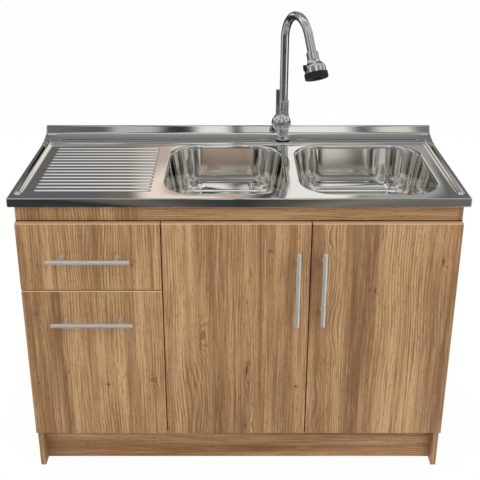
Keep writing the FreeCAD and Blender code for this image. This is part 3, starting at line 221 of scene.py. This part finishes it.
def ledgeHeight(x, y, z):
    t = top
    if y < t["ledgeFront"] + t["beadWidth"]:
        z = max(z, t["level"] + raised(x, y)) if abs(x) > t["beadX"] - t["beadWidth"] else z
    begin, end = t["ledgeFront"] + t["valleyMargin"], t["upstandFront"] - t["coveRadius"]
    if begin < y < end:
        fade = min(1, max(0, (t["valleyEnd"] - abs(x)) / t["valleyFade"]))
        flat = math.exp(-((x - t["tapX"]) / t["tapPad"]) ** 2)
        z -= t["valleyDepth"] * math.sin(math.pi * (y - begin) / (end - begin)) ** 2 * (1 - flat) * fade
    return z


def bowlProfile():
    t = top
    wall = 90 - t["draft"]
    tangent = math.tan(math.radians(wall / 2))
    profile = [(p[0] - t["lip"] * tangent, p[1]) for p in arc((0, -t["lip"]), t["lip"], 90, t["draft"], 10)]
    foot = t["depth"] * math.tan(math.radians(t["draft"])) + t["floorRadius"] * tangent
    fillet = arc((foot, t["floorRadius"] - t["depth"]), t["floorRadius"], 180 + t["draft"], 270, 14)
    begin = profile[-1]
    return profile + [between(begin, fillet[0], i / t["cuts"]) for i in range(1, t["cuts"])] + fillet


def bowlRing(centreX, width, inset, z, steps=22):
    t = top
    a, b = width / 2 - t["corner"], t["bowlLength"] / 2 - t["corner"]
    outline = []
    for cx, cy, start in ((a, b, 0), (-a, b, 90), (-a, -b, 180), (a, -b, 270)):
        outline += arc((cx, cy), t["corner"] - inset, start, start + 90, steps)
    line = []
    for p, q in zip(outline, outline[1:] + outline[:1]):
        line.append(p)
        if math.dist(p, q) > t["longRun"]:
            line += [between(p, q, k / t["cuts"]) for k in range(1, t["cuts"])]
    return [(centreX + x, t["bowlY"] + y, t["level"] + z) for x, y in line + line[:1]]


def bowlPatches(centreX, width, low, high):
    t = top
    front = t["front"] + t["edgeRadius"]
    rings = [bowlRing(centreX, width, inset, z) for inset, z in bowlProfile()]
    edge = []  # the rectangle of flat sheet round the bowl, one point for each point of the rim
    for x, y, z in rings[0]:
        dx, dy = x - centreX, y - t["bowlY"]
        reachX = ((high if dx > 0 else low) - centreX) / dx if abs(dx) > 1e-6 else 1e9
        reachY = ((t["flatBack"] if dy > 0 else front) - t["bowlY"]) / dy if abs(dy) > 1e-6 else 1e9
        reach = min(reachX, reachY)
        edge.append((centreX + dx * reach, t["bowlY"] + dy * reach, z))
    turns = [math.atan2(y - t["bowlY"], x - centreX) for x, y, _ in rings[-1]]
    seat = ((t["seatFlat"], -t["seatDepth"]), (t["drainHole"] - t["seat"], -t["seatDepth"]))
    drain = []
    for outward, down in t["seatRim"] + seat:
        reach, z = t["seat"] + outward, t["level"] - t["depth"] + down
        drain.append([(centreX + reach * math.cos(a), t["bowlY"] + reach * math.sin(a), z) for a in turns])
    patches = [[edge] + rings + drain]
    for corner in ((low, front), (high, front), (high, t["flatBack"]), (low, t["flatBack"])):
        for p, q in zip(edge, edge[1:]):
            turning = abs(p[0] - q[0]) > 0.01 and abs(p[1] - q[1]) > 0.01
            if turning and math.dist(p[:2], corner) < t["cornerReach"]:
                patches.append([[p, (*corner, t["level"])], [q, (*corner, t["level"])]])
    return patches


def steelTop():
    t = top
    r, level, hem, front = t["edgeRadius"], t["level"], t["hem"], t["front"]
    inside = t["side"] - r
    frontPath = [(front + 1, hem + t["hemLip"]), (front + 1, hem + 0.5), (front + 0.5, hem),
                 (front, hem + 0.5), (front, level - r)]
    frontPath += arc((front + r, level - r), r, 180, 90, 8)[1:]
    corners = [(t["flatBack"], level, 0), (t["ledgeFront"], level, t["ledgeRadius"]),
               (t["ledgeFront"] + t["ledgeSlope"], t["ledgeTop"], t["ledgeRadius"]),
               (t["upstandFront"], t["ledgeTop"], t["coveRadius"]), (t["upstandFront"], t["upstandTop"], r),
               (t["back"], t["upstandTop"], r), (t["back"], hem, 0)]
    rough = roundedPath(corners)
    backPath = []
    for before, after in zip(rough, rough[1:]):
        onLedge = before[0] < t["upstandFront"] - 1
        count = max(1, round(math.dist(before, after) / t["ledgeStep"])) if onLedge else 1
        backPath += [between(before, after, i / count) for i in range(count)]
    backPath.append(rough[-1])
    fine, low = t["fineStep"], t["ribLeft"] + t["ribEnd"]
    high = t["ribLeft"] + t["ribLength"] - t["ribEnd"]
    crosses = (spread((-inside, low, fine), (low, high, t["coarseStep"]), (high, t["flatLeft"], fine)),
               spread((t["flatRight"], inside, fine)))
    rows = spread((front + r, t["flatBack"], t["rowStep"]))
    patches = [[[(x, y, level + raised(x, y)) for x in cross] for y in rows] for cross in crosses]
    reach, wide, (tapLeft, tapRight) = t["ledgeReach"], t["ledgeCoarse"], t["tapSpan"]
    cross = spread((-inside, -reach, fine), (-reach, tapLeft, wide), (tapLeft, tapRight, t["tapStep"]),
                   (tapRight, reach, wide), (reach, inside, fine))
    patches.append([[(x, y, ledgeHeight(x, y, z)) for x in cross] for y, z in backPath])
    patches.append([[(x, y, z) for x in (-inside, inside)] for y, z in frontPath])
    section = frontPath[3:] + [(y, level) for y in rows[1:-1]] + backPath
    for side in (-1, 1):
        ends = []
        for index, (y, z) in enumerate(section):
            before, after = section[max(index - 1, 0)], section[min(index + 1, len(section) - 1)]
            along = Vector((after[0] - before[0], after[1] - before[1])).normalized()
            inward = Vector((along.y, -along.x))
            edge = ledgeHeight(inside, y, z) if y > t["flatBack"] else z + raised(inside, y)
            line = []
            for angle in (math.radians(t["edgeTurn"] * step) for step in range(90 // t["edgeTurn"] + 1)):
                shift = inward * r * (1 - math.cos(angle))
                line.append((side * (inside + r * math.sin(angle)), y + shift.x, edge + shift.y))
            ends.append(line + [(side * t["side"], line[-1][1], hem)])
        patches.append(ends)
    flats = ((t["flatLeft"], t["split"]), (t["split"], t["flatRight"]))
    for (centreX, width), (low, high) in zip(t["bowls"], flats):
        patches += bowlPatches(centreX, width, low, high)
    return meshPiece("steelTop", patches, steel)


piece = steelTop()
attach(piece, "cabinet")
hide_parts("sink_deck", "left_bowl", "right_bowl")
print("sink top pressed")

# Oak-print melamine on chipboard: brown glued staves, long streaks, fine pores and knots under a satin skin.
oakLook = {
    # The edge colour is a painted highlight, for the top edge of a front where light from above catches it.
    "pale": "#c09a6d", "base": "#a88056", "brown": "#7f5835", "dark": "#3a2414", "edge": "#d9b78c",
    "staveWidth": 88, "staveContrast": 0.16, "ringSpacing": 8, "ringSway": 7.0, "ringsShown": (0.42, 0.60),
    "knotRings": 1.6, "coreSharpness": 9.0, "roughness": 0.45, "poreDepth": 0.15,
    "faceY": -230, "lean": 0.9, "highlightHeight": 1.5, "highlightShare": 0.8,
    # width and length of one mark, detail, roughness
    "marks": {"sway": (130, 520, 1.0, 0.4), "broad": (36, 1300, 2.0, 0.6), "streak": (8, 520, 2.0, 0.6),
              "fade": (70, 300, 1.0, 0.5), "grain": (3.4, 120, 2.5, 0.65), "pore": (2.2, 22, 1.0, 0.5)},
    # mark, where it starts and is full, its most, its colour
    "layers": [("streak", 0.56, 0.66, 0.65, "brown"), ("rings", 0.1, 0.9, 0.75, "brown"),
               ("grain", 0.50, 0.66, 0.55, "brown"), ("grain", 0.47, 0.34, 0.40, "pale"),
               ("pore", 0.60, 0.70, 0.40, "dark")],
}


def oakLaminate(name, look, across, along, seed, knots=(), topEdge=None):
    material, tree, shader = newMaterial(name)
    place = addNode(tree, "TexCoord").outputs["Object"]
    axes = [addNode(tree, "VectorMath", {"operation": "DOT_PRODUCT", 1: [1000 * part for part in axis]},
                    {0: place}).outputs["Value"] for axis in (across, along)]
    board = addNode(tree, "CombineXYZ", {"Z": seed}, {0: axes[0], 1: axes[1]})
    marks = {}
    for mark, (width, length, detail, rough) in look["marks"].items():
        squeeze = addNode(tree, "Mapping", {"Scale": (1 / width, 1 / length, 1)}, {"Vector": board})
        marks[mark] = addNode(tree, "TexNoise", {"Scale": 1.0, "Detail": detail, "Roughness": rough},
                              {"Vector": squeeze})
    phase = addNode(tree, "Math", {"operation": "MULTIPLY", 1: 1 / look["ringSpacing"]}, {0: axes[0]})
    phase = addNode(tree, "Math", {"operation": "MULTIPLY_ADD", 1: look["ringSway"]},
                    {0: marks["sway"], 2: phase})
    cores = around = None
    for x, y, size, stretch, turns, darkness in knots:  # rings bend round each knot, and its core is dark
        shift = (-(x + look["lean"] * look["faceY"]) / size, -y / (size * stretch), 0)
        near = addNode(tree, "Mapping", {"Scale": (1 / size, 1 / (size * stretch), 0), "Location": shift},
                       {"Vector": board})
        reach = addNode(tree, "VectorMath", {"operation": "DOT_PRODUCT"}, {0: near, 1: near})
        fall = addNode(tree, "Math", {"operation": "POWER", 0: math.exp(-1)}, {1: reach.outputs["Value"]})
        phase = addNode(tree, "Math", {"operation": "MULTIPLY_ADD", 1: turns}, {0: fall, 2: phase})
        total = addNode(tree, "Math", {"operation": "ADD", 1: 0.0}, {0: fall})
        core = addNode(tree, "Math", {"operation": "POWER", 1: look["coreSharpness"]}, {0: fall})
        dark = addNode(tree, "Math", {"operation": "MULTIPLY_ADD", 1: darkness, 2: 0.0}, {0: core})
        if cores:
            tree.links.new(around.outputs[0], total.inputs[1])
            tree.links.new(cores.outputs[0], dark.inputs[2])
        around, cores = total, dark
    wave = addNode(tree, "Math", {"operation": "MULTIPLY", 1: math.tau}, {0: phase})
    marks["rings"] = addNode(tree, "Math", {"operation": "SINE"}, {0: wave})
    low, full = look["ringsShown"]
    fade = addNode(tree, "MapRange", {"From Min": low, "From Max": full}, {"Value": marks["fade"]})
    shown = addNode(tree, "Math", {"operation": "MULTIPLY_ADD", 1: look["knotRings"], "use_clamp": True},
                    {2: fade})
    if around:
        tree.links.new(around.outputs[0], shown.inputs[0])
    stave = addNode(tree, "TexVoronoi", {"voronoi_dimensions": "1D", "Scale": 1 / look["staveWidth"]},
                    {"W": axes[0]})
    staveTone = addNode(tree, "SeparateColor", links={0: stave.outputs["Color"]})
    tone = addNode(tree, "Math", {"operation": "MULTIPLY_ADD", 1: look["staveContrast"]},
                   {0: staveTone, 2: marks["broad"]})
    stops = [(0.36, look["brown"]), (0.55, look["base"]), (0.76, look["pale"])]
    colour = addNode(tree, "ValToRGB", {"stops": stops}, {0: tone}).outputs[0]
    layers = []
    for mark, start, full, most, key in look["layers"]:
        share = addNode(tree, "MapRange", {"From Min": start, "From Max": full, "To Max": most},
                        {"Value": marks[mark]})
        if mark == "rings":
            share = addNode(tree, "Math", {"operation": "MULTIPLY"}, {0: share, 1: shown})
        layers.append((share, key))
    if cores:
        layers.append((cores, "dark"))
    # Painted highlight: the top face of each front and a thin band below it turn the lighter edge colour, as
    # if lit from above.
    if topEdge:
        low = topEdge - look["highlightHeight"]
        rim = addNode(tree, "MapRange", {"From Min": low - 1, "From Max": low, "To Max": look["highlightShare"]},
                      {"Value": axes[1]})
        layers.append((rim, "edge"))
    for share, key in layers:
        mix = addNode(tree, "Mix", {"data_type": "RGBA", "clamp_factor": True, 7: toLinear(look[key])},
                      {0: share, 6: colour})
        colour = mix.outputs[2]
    bump = addNode(tree, "Bump", {"Strength": 0.5, "Distance": look["poreDepth"] / 1000, "invert": True},
                   {"Height": marks["pore"]})
    tree.links.new(colour, shader.inputs["Base Color"])
    tree.links.new(bump.outputs[0], shader.inputs["Normal"])
    shader.inputs["Roughness"].default_value = look["roughness"]
    return material


# Each front: its seed, and its knots as place across and up, size, stretch along the grain, rings, darkness.
fronts = {
    "left_door_panel": (1, [
        (-105, 459, 20, 2.6, 3.5, 0.3), (-102, 250, 34, 4.0, -3.0, 0), (82, 718, 9, 1.8, 1.6, 0.8),
        (22, 562, 5, 2.5, 1.0, 0.9), (24, 350, 8, 7.0, 1.5, 0.8), (20, 158, 16, 2.2, 2.8, 0.4),
        (160, 292, 7, 1.4, 1.2, 0.9), (-60, 690, 22, 7.0, 2.0, 0), (22, 336, 4, 14.0, 0.6, 0.9)]),
    "right_door_panel": (2, [
        (543, 688, 14, 2.2, 2.6, 0.7), (367, 598, 9, 1.8, 1.8, 0.9), (236, 480, 30, 3.6, 3.5, 0.2),
        (528, 533, 4, 1.2, 0.5, 1.0), (500, 452, 4, 1.2, 0.5, 1.0), (354, 375, 4, 1.4, 0.5, 0.9),
        (240, 240, 34, 4.0, -2.6, 0), (232, 760, 20, 2.6, 2.4, 0.2)]),
    "top_drawer_front": (3, [
        (-283, 676, 8, 1.6, 1.6, 0.8), (-420, 700, 26, 5.0, 2.0, 0)]),
    "lower_drawer_front": (4, [
        (-556, 527, 17, 1.6, 3.0, 0.35), (-484, 322, 7, 2.0, 1.2, 0.7), (-367, 298, 10, 1.0, 1.6, 1.0),
        (-249, 314, 15, 1.6, 2.8, 0.3), (-562, 302, 7, 1.8, 1.2, 0.7), (-316, 332, 4, 1.2, 0.5, 1.0)]),
}
seedStep = 7.3
upright, sideways = (1, oakLook["lean"], 0), (0, 0, 1)  # across the grain and along it, standing
for name, (seed, knots) in fronts.items():
    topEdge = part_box(name)[1][2] * 1000
    oak = oakLaminate("oakLaminate_" + name, oakLook, upright, sideways, seed * seedStep, knots, topEdge)
    dress(oak, name)
dress(oakLaminate("oakLaminateUpright", oakLook, upright, sideways, 44),
      "left_end_panel", "right_end_panel", "divider_panel", "drawer_bay_rail", "back_panel")
dress(oakLaminate("oakLaminateLevel", oakLook, (0, 0.9, 1), (1, 0, 0), 52, [(-300, 100, 5, 1.2, 0.6, 0.9)]),
      "sink_bay_rail", "plinth", "bottom_panel", "rear_rail")
drawerOak = oakLaminate("oakLaminateDrawers", oakLook, (0.9, 0, 1), (0.2, 1, 0), 61)
for kind in ("top", "lower"):
    dress(drawerOak, f"{kind}_drawer_sides", f"{kind}_drawer_ends", f"{kind}_drawer_bottom")
print("boards laminated")

# Chrome plate on brass: a cold, near perfect mirror.
chromeLook = {"tint": "#dfe0e1", "roughness": 0.045, "waveLength": 60, "waveDepth": 0.02,
              "grainWidth": 1.0, "grainLength": 40}
chrome = polishedMetal("chromePlate", chromeLook)
dress(chrome, "tap_body", "tap_cap", "tap_lever", "spout_sleeve", "spout_tube", "spray_head")
# Brushed steel bar under satin lacquer: pale, with a soft blurred shine.
brushedLook = {"tint": "#dad8d4", "roughness": 0.22, "metallic": 0.62, "waveLength": 100, "waveDepth": 0.02,
               "grainWidth": 0.6, "grainLength": 60}
dress(polishedMetal("brushedHandleSteel", brushedLook), "top_drawer_handle", "lower_drawer_handle")
dress(polishedMetal("brushedHandleSteelUpright", brushedLook, 2), "left_door_handle", "right_door_handle")
dress(steel, "left_waste", "right_waste", "left_basket", "right_basket")
# Zinc plate on pressed steel: dull blue-grey.
zincLook = {"tint": "#b9bcc0", "roughness": 0.35, "waveLength": 40, "waveDepth": 0.02,
            "grainWidth": 2.0, "grainLength": 6}
zinc = polishedMetal("zincPlate", zincLook, 1)
dress(zinc, "runner_rails")
for side in ("left", "right"):
    dress(zinc, *(f"{side}_{part}" for part in ("hinge_arms", "hinge_links", "hinge_cups", "door_screws")))
for kind in ("top", "lower"):
    dress(zinc, *(f"{kind}_drawer_{part}" for part in ("screws", "slides", "runners")))
# Turned brass: warm yellow with fine lathe lines.
brassLook = {"tint": "#c8a45c", "roughness": 0.25, "waveLength": 40, "waveDepth": 0.02,
             "grainWidth": 1.0, "grainLength": 4}
dress(polishedMetal("turnedBrass", brassLook), "cartridge_stem")


def mouldedPlastic(name, code, roughness, grit=0.8, depth=0.08):  # even colour and a fine bloom
    material, tree, shader = newMaterial(name)
    place = addNode(tree, "TexCoord").outputs["Object"]
    skin = addNode(tree, "TexNoise", {"Scale": 1000 / grit, "Detail": 2.0}, {"Vector": place})
    bump = addNode(tree, "Bump", {"Strength": 0.3, "Distance": depth / 1000}, {"Height": skin})
    rough = addNode(tree, "MapRange", {"To Min": roughness * 0.8, "To Max": roughness * 1.2},
                    {"Value": skin})
    shader.inputs["Base Color"].default_value = toLinear(code)
    tree.links.new(rough.outputs[0], shader.inputs["Roughness"])
    tree.links.new(bump.outputs[0], shader.inputs["Normal"])
    return material


dress(mouldedPlastic("blackPlastic", "#131316", 0.35), "spray_grip", "spray_button")  # ABS, satin black
dress(mouldedPlastic("blackRubber", "#1b1b1c", 0.6), "tap_fixings")  # nitrile, dull
# White and grey pipe plastic, the nuts a little duller than the pipes.
dress(mouldedPlastic("whitePipe", "#e4e3de", 0.3), "drain_manifold", "drain_trap", "mixing_cartridge")
dress(mouldedPlastic("greyNut", "#8c8e90", 0.4), "drain_nuts")
print("metals and plastics done")

# Thin near-black strips behind the gaps round the fronts: painted shade where the gaps are dark, and a
# painted shadow line just above the fronts' tops.
shadeStripSizes = {"depth": (-213.7, -212.7), "doorDepth": (-227, -217), "doorGap": (189.55, 191.6), "half": 5,
        "shadowLineHeight": 2}


def slab(name, corners, material, body):
    patches = []
    for (x0, y0, z0), (x1, y1, z1) in corners:
        front = [[(x0, y0, z0), (x1, y0, z0)], [(x0, y0, z1), (x1, y0, z1)]]
        patches += [front, [[(x, y1, z) for x, _, z in row] for row in front]]
        patches += [[[(x, y, z) for y in (y0, y1)] for z in (z0, z1)] for x in (x0, x1)]
        patches += [[[(x, y, z) for y in (y0, y1)] for x in (x0, x1)] for z in (z0, z1)]
    piece = meshPiece(name, patches, material)
    for polygon in piece.data.polygons:
        polygon.use_smooth = False
    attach(piece, body)


# The near-black colour of these strips is painted shade for the gaps.
shadeStripMaterial = mouldedPlastic("paintedGapShade", "#0b0a09", 0.9)
left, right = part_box("left_door_panel")[0][0] * 1000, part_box("top_drawer_front")[1][0] * 1000
low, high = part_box("left_door_panel")[0][2] * 1000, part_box("left_door_panel")[1][2] * 1000
y0, y1 = shadeStripSizes["depth"]
turnUp = high - shadeStripSizes["half"]
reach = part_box("right_door_panel")[1][0] * 1000
# Painted shade: a strip in the gap beside the drawers, and a painted shadow line along the tops of the
# fronts.
slab("gapShadeStrip", [((right - shadeStripSizes["half"], y0, low), (left + shadeStripSizes["half"], y1, turnUp)),
                  ((-reach, y0, turnUp), (reach, y1, high + shadeStripSizes["shadowLineHeight"]))], shadeStripMaterial, "cabinet")
x0, x1 = shadeStripSizes["doorGap"]
# Painted shade in the gap between the two doors.
slab("doorGapShadeStrip", [((x0, shadeStripSizes["doorDepth"][0], low), (x1, shadeStripSizes["doorDepth"][1], high))], shadeStripMaterial, "left_door")
print("gap strips placed")

# White studio. Metal mirrors a dark tent with lit openings and a dark floor cloth, which nothing else sees.
studio = {
    "floor": "#f4f4f3", "floorReach": 20000, "floorGlow": 0.96, "worldLevel": 0.80,
    "tentRadius": 8000, "tentHeight": 900, "tentFoot": -12, "tentSteps": (10, 6),
    "cloth": "#0d0e10", "clothReach": 8000, "clothLift": 1,
    # round from the back: where the tent starts to be lighter, is fully so, and starts to darken again
    "sideEdges": (26, 42, 140),
    # above the horizon: where it starts to be lighter, is fully so, and by how much
    "aboveEdges": (27, 33), "aboveShare": 0.5,
    # the lighter tones from the foot of the tent upward, and the rise in radians that they cover
    "sideRise": (-0.1, 1.3),
    "sideTones": [(0.0, "#55585a"), (0.18, "#8f9294"), (0.30, "#b9bbbc"), (0.36, "#75787a"),
                  (0.55, "#9da0a2"), (0.8, "#d5d7d8"), (1.0, "#8d9092")],
    # tones of the cloth round the unit: degrees from its front, colour
    "clothTones": [
        (-180, "#36383a"), (-128, "#303234"), (-122, "#a4a6a9"), (-66, "#c4c6c8"), (-58, "#303234"),
        (-38, "#3c3f41"), (-28, "#34383b"), (-21, "#676664"), (-15.3, "#686765"), (-7.8, "#4c4e50"),
        (1.6, "#3a3d40"), (12.3, "#5c5c5a"), (20.9, "#80807c"), (29.8, "#747470"), (46, "#6f6e6a"),
        (52, "#fafafa"), (76, "#ffffff"), (83, "#3c3e40"), (110, "#5a5c5e"), (140, "#303234"),
        (180, "#36383a")],
    # name: place in metres, width and height in metres, watts
    "lamps": {"keyLamp": ((1.8, -2.2, 2.6), (1.2, 1.2), 34), "fillLamp": ((-2.4, -2.0, 1.8), (1.5, 1.5), 18),
              "topLamp": ((-0.3, 0.6, 3.0), (1.6, 0.8), 28)},
    "lampAim": (0, 0, 0.6),  # metres
}
# Lit openings of the tent: azimuth from +Y towards +X, elevation, half width, half height, soft edge, colour.
openings = [
    (-17, 21, 7, 6, 2.0, "#6a6c6d"), (-9.5, 20.5, 3.4, 6, 1.6, "#7c746e"),
    (-3.6, 20.5, 5.5, 6, 1.6, "#c9b8ad"), (-5.5, 24, 4.0, 2.6, 1.0, "#fff2e6"),
    (8, 20.5, 4.0, 6, 1.2, "#ffffff"), (16, 20.5, 4.0, 6, 2.0, "#a8aaab"),
    (24, 20, 4.0, 6, 2.0, "#707274"), (0, 78, 80, 9, 3.0, "#ffffff"), (0, 36, 60, 1.5, 0.8, "#9c9ea0"),
    (6, 9, 3.0, 5, 1.0, "#d8d8d4"), (-38, 11, 8, 6, 2.0, "#ffffff"), (36, 11, 8, 6, 2.0, "#ffffff"),
    (-72, 34, 9, 26, 3.0, "#eef1f5"), (66, 30, 7, 24, 3.0, "#fff6ea"), (112, 34, 10, 20, 4.0, "#d9dde2"),
    (-118, 30, 8, 22, 4.0, "#e6e2da"), (171, 56, 5.0, 29, 1.0, "#ffffff"),
    (161, 50, 2.4, 24, 1.0, "#e9e9e4"), (177.5, 52, 1.6, 24, 0.6, "#e0e0dc"),
    (-177.4, 56, 2.2, 29, 0.8, "#ffffff"), (-168, 50, 3.0, 24, 1.0, "#c3c7ca"),
    (-166.5, 16, 3.0, 9, 1.5, "#d0d8df"), (-172, 16, 2.2, 9, 1.0, "#6f757a"),
    (-177, 16, 3.0, 9, 1.0, "#dfeaf6"), (177.2, 16, 2.6, 9, 0.8, "#777772"),
    (170, 16, 4.2, 9, 1.2, "#b4b4ae"), (161, 16, 3.0, 9, 1.2, "#74746f"),
]


def seenShare(tree, level):  # what the camera, metal and glass see is white, and the light itself is plain
    rays = addNode(tree, "LightPath")
    seen = addNode(tree, "Math", {"operation": "MAXIMUM"},
                   {0: rays.outputs["Is Camera Ray"], 1: rays.outputs["Is Glossy Ray"]})
    seen = addNode(tree, "Math", {"operation": "MAXIMUM"}, {0: seen, 1: rays.outputs["Is Transmission Ray"]})
    return addNode(tree, "Math", {"operation": "MULTIPLY", 1: level}, {0: seen}).outputs[0]


def flatSheet(name, reach, z, material):
    return meshPiece(name, [[[(x, y, z) for x in (-reach, reach)] for y in (-reach, reach)]], material)


# Matt pale sheet, white to the eye where no shadow falls.
floorMaterial, tree, shader = newMaterial("paleFloor")
shader.inputs["Base Color"].default_value = toLinear(studio["floor"])
shader.inputs["Roughness"].default_value = 0.9
glow = addNode(tree, "Emission", {"Color": (1, 1, 1, 1), "Strength": 1.0})
blend = addNode(tree, "MixShader", links={0: seenShare(tree, studio["floorGlow"]), 1: shader, 2: glow})
addNode(tree, "OutputMaterial", {"is_active_output": True}, {"Surface": blend})
floor = flatSheet("studioFloor", studio["floorReach"], 0, floorMaterial)

world = bpy.data.worlds.new("studioWorld")
bpy.context.scene.world = world
tree = emptyTree(world)
plain = addNode(tree, "Background", {"Color": (1, 1, 1, 1), "Strength": studio["worldLevel"]})
white = addNode(tree, "Background", {"Color": (1, 1, 1, 1), "Strength": 1.0})
blend = addNode(tree, "MixShader", links={0: seenShare(tree, 1.0), 1: plain, 2: white})
addNode(tree, "OutputWorld", links={"Surface": blend})

# Black cloth with lit openings, there only for the metal to mirror.
tentMaterial = bpy.data.materials.new("darkTent")
tree = emptyTree(tentMaterial)
place = addNode(tree, "TexCoord").outputs["Object"]
unit = addNode(tree, "VectorMath", {"operation": "NORMALIZE"}, {0: place})
parts = addNode(tree, "SeparateXYZ", links={0: unit})
turn = addNode(tree, "Math", {"operation": "ARCTAN2"}, {0: parts, 1: parts.outputs[1]})
rise = addNode(tree, "Math", {"operation": "ARCSINE"}, {0: parts.outputs[2]})
colour = addNode(tree, "RGB").outputs[0]
colour.default_value = toLinear(studio["cloth"])
aside = addNode(tree, "Math", {"operation": "ABSOLUTE"}, {0: turn})
smooth = {"interpolation_type": "SMOOTHSTEP"}
low, full, high = (math.radians(edge) for edge in studio["sideEdges"])
sideShare = addNode(tree, "MapRange", {**smooth, "From Min": low, "From Max": full}, {"Value": aside})
frontShare = addNode(tree, "MapRange", {**smooth, "From Min": high, "From Max": math.pi}, {"Value": aside})
low, full = studio["sideRise"]
upward = addNode(tree, "MapRange", {"From Min": low, "From Max": full}, {"Value": rise})
sideTone = addNode(tree, "ValToRGB", {"stops": studio["sideTones"]}, {0: upward})
low, full = (math.radians(edge) for edge in studio["aboveEdges"])
above = addNode(tree, "MapRange", {"From Min": low, "From Max": full, "To Max": studio["aboveShare"]},
                {"Value": rise})
litShare = addNode(tree, "Math", {"operation": "MAXIMUM"}, {0: sideShare, 1: above})
colour = addNode(tree, "Mix", {"data_type": "RGBA"}, {0: litShare, 6: colour, 7: sideTone}).outputs[2]
colour = addNode(tree, "Mix", {"data_type": "RGBA", 7: toLinear(studio["cloth"])},
                 {0: frontShare, 6: colour}).outputs[2]
for azimuth, elevation, halfWidth, halfHeight, soft, code in openings:
    shares = []
    for angle, middle, half in ((turn, azimuth, halfWidth), (rise, elevation, halfHeight)):
        offset = addNode(tree, "Math", {"operation": "SUBTRACT", 1: math.radians(middle)}, {0: angle})
        gap = addNode(tree, "Math", {"operation": "ABSOLUTE"}, {0: offset})
        edges = {"From Min": math.radians(half + soft), "From Max": math.radians(half - soft)}
        shares.append(addNode(tree, "MapRange", {**smooth, **edges}, {"Value": gap}))
    both = addNode(tree, "Math", {"operation": "MULTIPLY"}, {0: shares[0], 1: shares[1]})
    mix = addNode(tree, "Mix", {"data_type": "RGBA", 7: toLinear(code)}, {0: both, 6: colour})
    colour = mix.outputs[2]
glow = addNode(tree, "Emission", {"Strength": 1.0}, {"Color": colour})
addNode(tree, "OutputMaterial", links={"Surface": glow})


def tentPoint(turnDegrees, riseDegrees):
    turned, raisedBy = math.radians(turnDegrees), math.radians(riseDegrees)
    flat = studio["tentRadius"] * math.cos(raisedBy)
    return (flat * math.sin(turned), flat * math.cos(turned), studio["tentRadius"] * math.sin(raisedBy))


aroundStep, upStep = studio["tentSteps"]
tent = meshPiece("studioTent", [[[tentPoint(a, e) for a in range(0, 361, aroundStep)]
                                 for e in range(studio["tentFoot"], 91, upStep)]], tentMaterial)
tent.location = (0, 0, studio["tentHeight"] / 1000)

# Dark cloth on the floor round the unit, for the edges of the sheet and the tap to mirror.
clothMaterial = bpy.data.materials.new("darkFloorCloth")
tree = emptyTree(clothMaterial)
place = addNode(tree, "TexCoord").outputs["Object"]
parts = addNode(tree, "SeparateXYZ", links={0: place})
back = addNode(tree, "Math", {"operation": "MULTIPLY", 1: -1.0}, {0: parts.outputs[1]})
turn = addNode(tree, "Math", {"operation": "ARCTAN2"}, {0: parts, 1: back})
share = addNode(tree, "MapRange", {"From Min": -math.pi, "From Max": math.pi}, {"Value": turn})
stops = [((turned + 180) / 360, code) for turned, code in studio["clothTones"]]
tone = addNode(tree, "ValToRGB", {"stops": stops}, {0: share})
glow = addNode(tree, "Emission", {"Strength": 1.0}, {"Color": tone})
addNode(tree, "OutputMaterial", links={"Surface": glow})
cloth = flatSheet("studioCloth", studio["clothReach"], studio["clothLift"], clothMaterial)
for backdrop in (tent, cloth):
    backdrop.visible_camera = backdrop.visible_diffuse = backdrop.visible_shadow = False
    backdrop.visible_transmission = backdrop.visible_volume_scatter = False

for name, (location, size, power) in studio["lamps"].items():
    data = bpy.data.lights.new(name, "AREA")
    data.shape = "RECTANGLE"
    data.size, data.size_y = size
    data.energy = power
    lamp = bpy.data.objects.new(name, data)
    lamp.location = location
    lamp.rotation_euler = (Vector(studio["lampAim"]) - Vector(location)).to_track_quat("-Z", "Y").to_euler()
    lamp.visible_glossy = False
    bpy.context.scene.collection.objects.link(lamp)

# Camera at the photograph's angle, worked out for a picture of 480 by 480 pixels. Its places are in metres.
view = {"focal": 796.8, "pitch": 20.60, "distance": 1.879, "height": 1.688, "across": -0.0154,
        "centreX": 233.15, "centreY": 158, "picture": 480, "sensor": 36}
cameraData = bpy.data.cameras.new("photoCamera")
cameraData.sensor_width = view["sensor"]
cameraData.lens = view["focal"] / view["picture"] * view["sensor"]
cameraData.shift_x = 0.5 - view["centreX"] / view["picture"]
cameraData.shift_y = view["centreY"] / view["picture"] - 0.5
camera = bpy.data.objects.new("photoCamera", cameraData)
camera.location = (view["across"], top["front"] / 1000 - view["distance"], view["height"])
camera.rotation_euler = (math.radians(90 - view["pitch"]), 0, 0)
bpy.context.scene.collection.objects.link(camera)
bpy.context.scene.camera = camera
bpy.context.scene.view_settings.view_transform = "Standard"
print("studio lit")
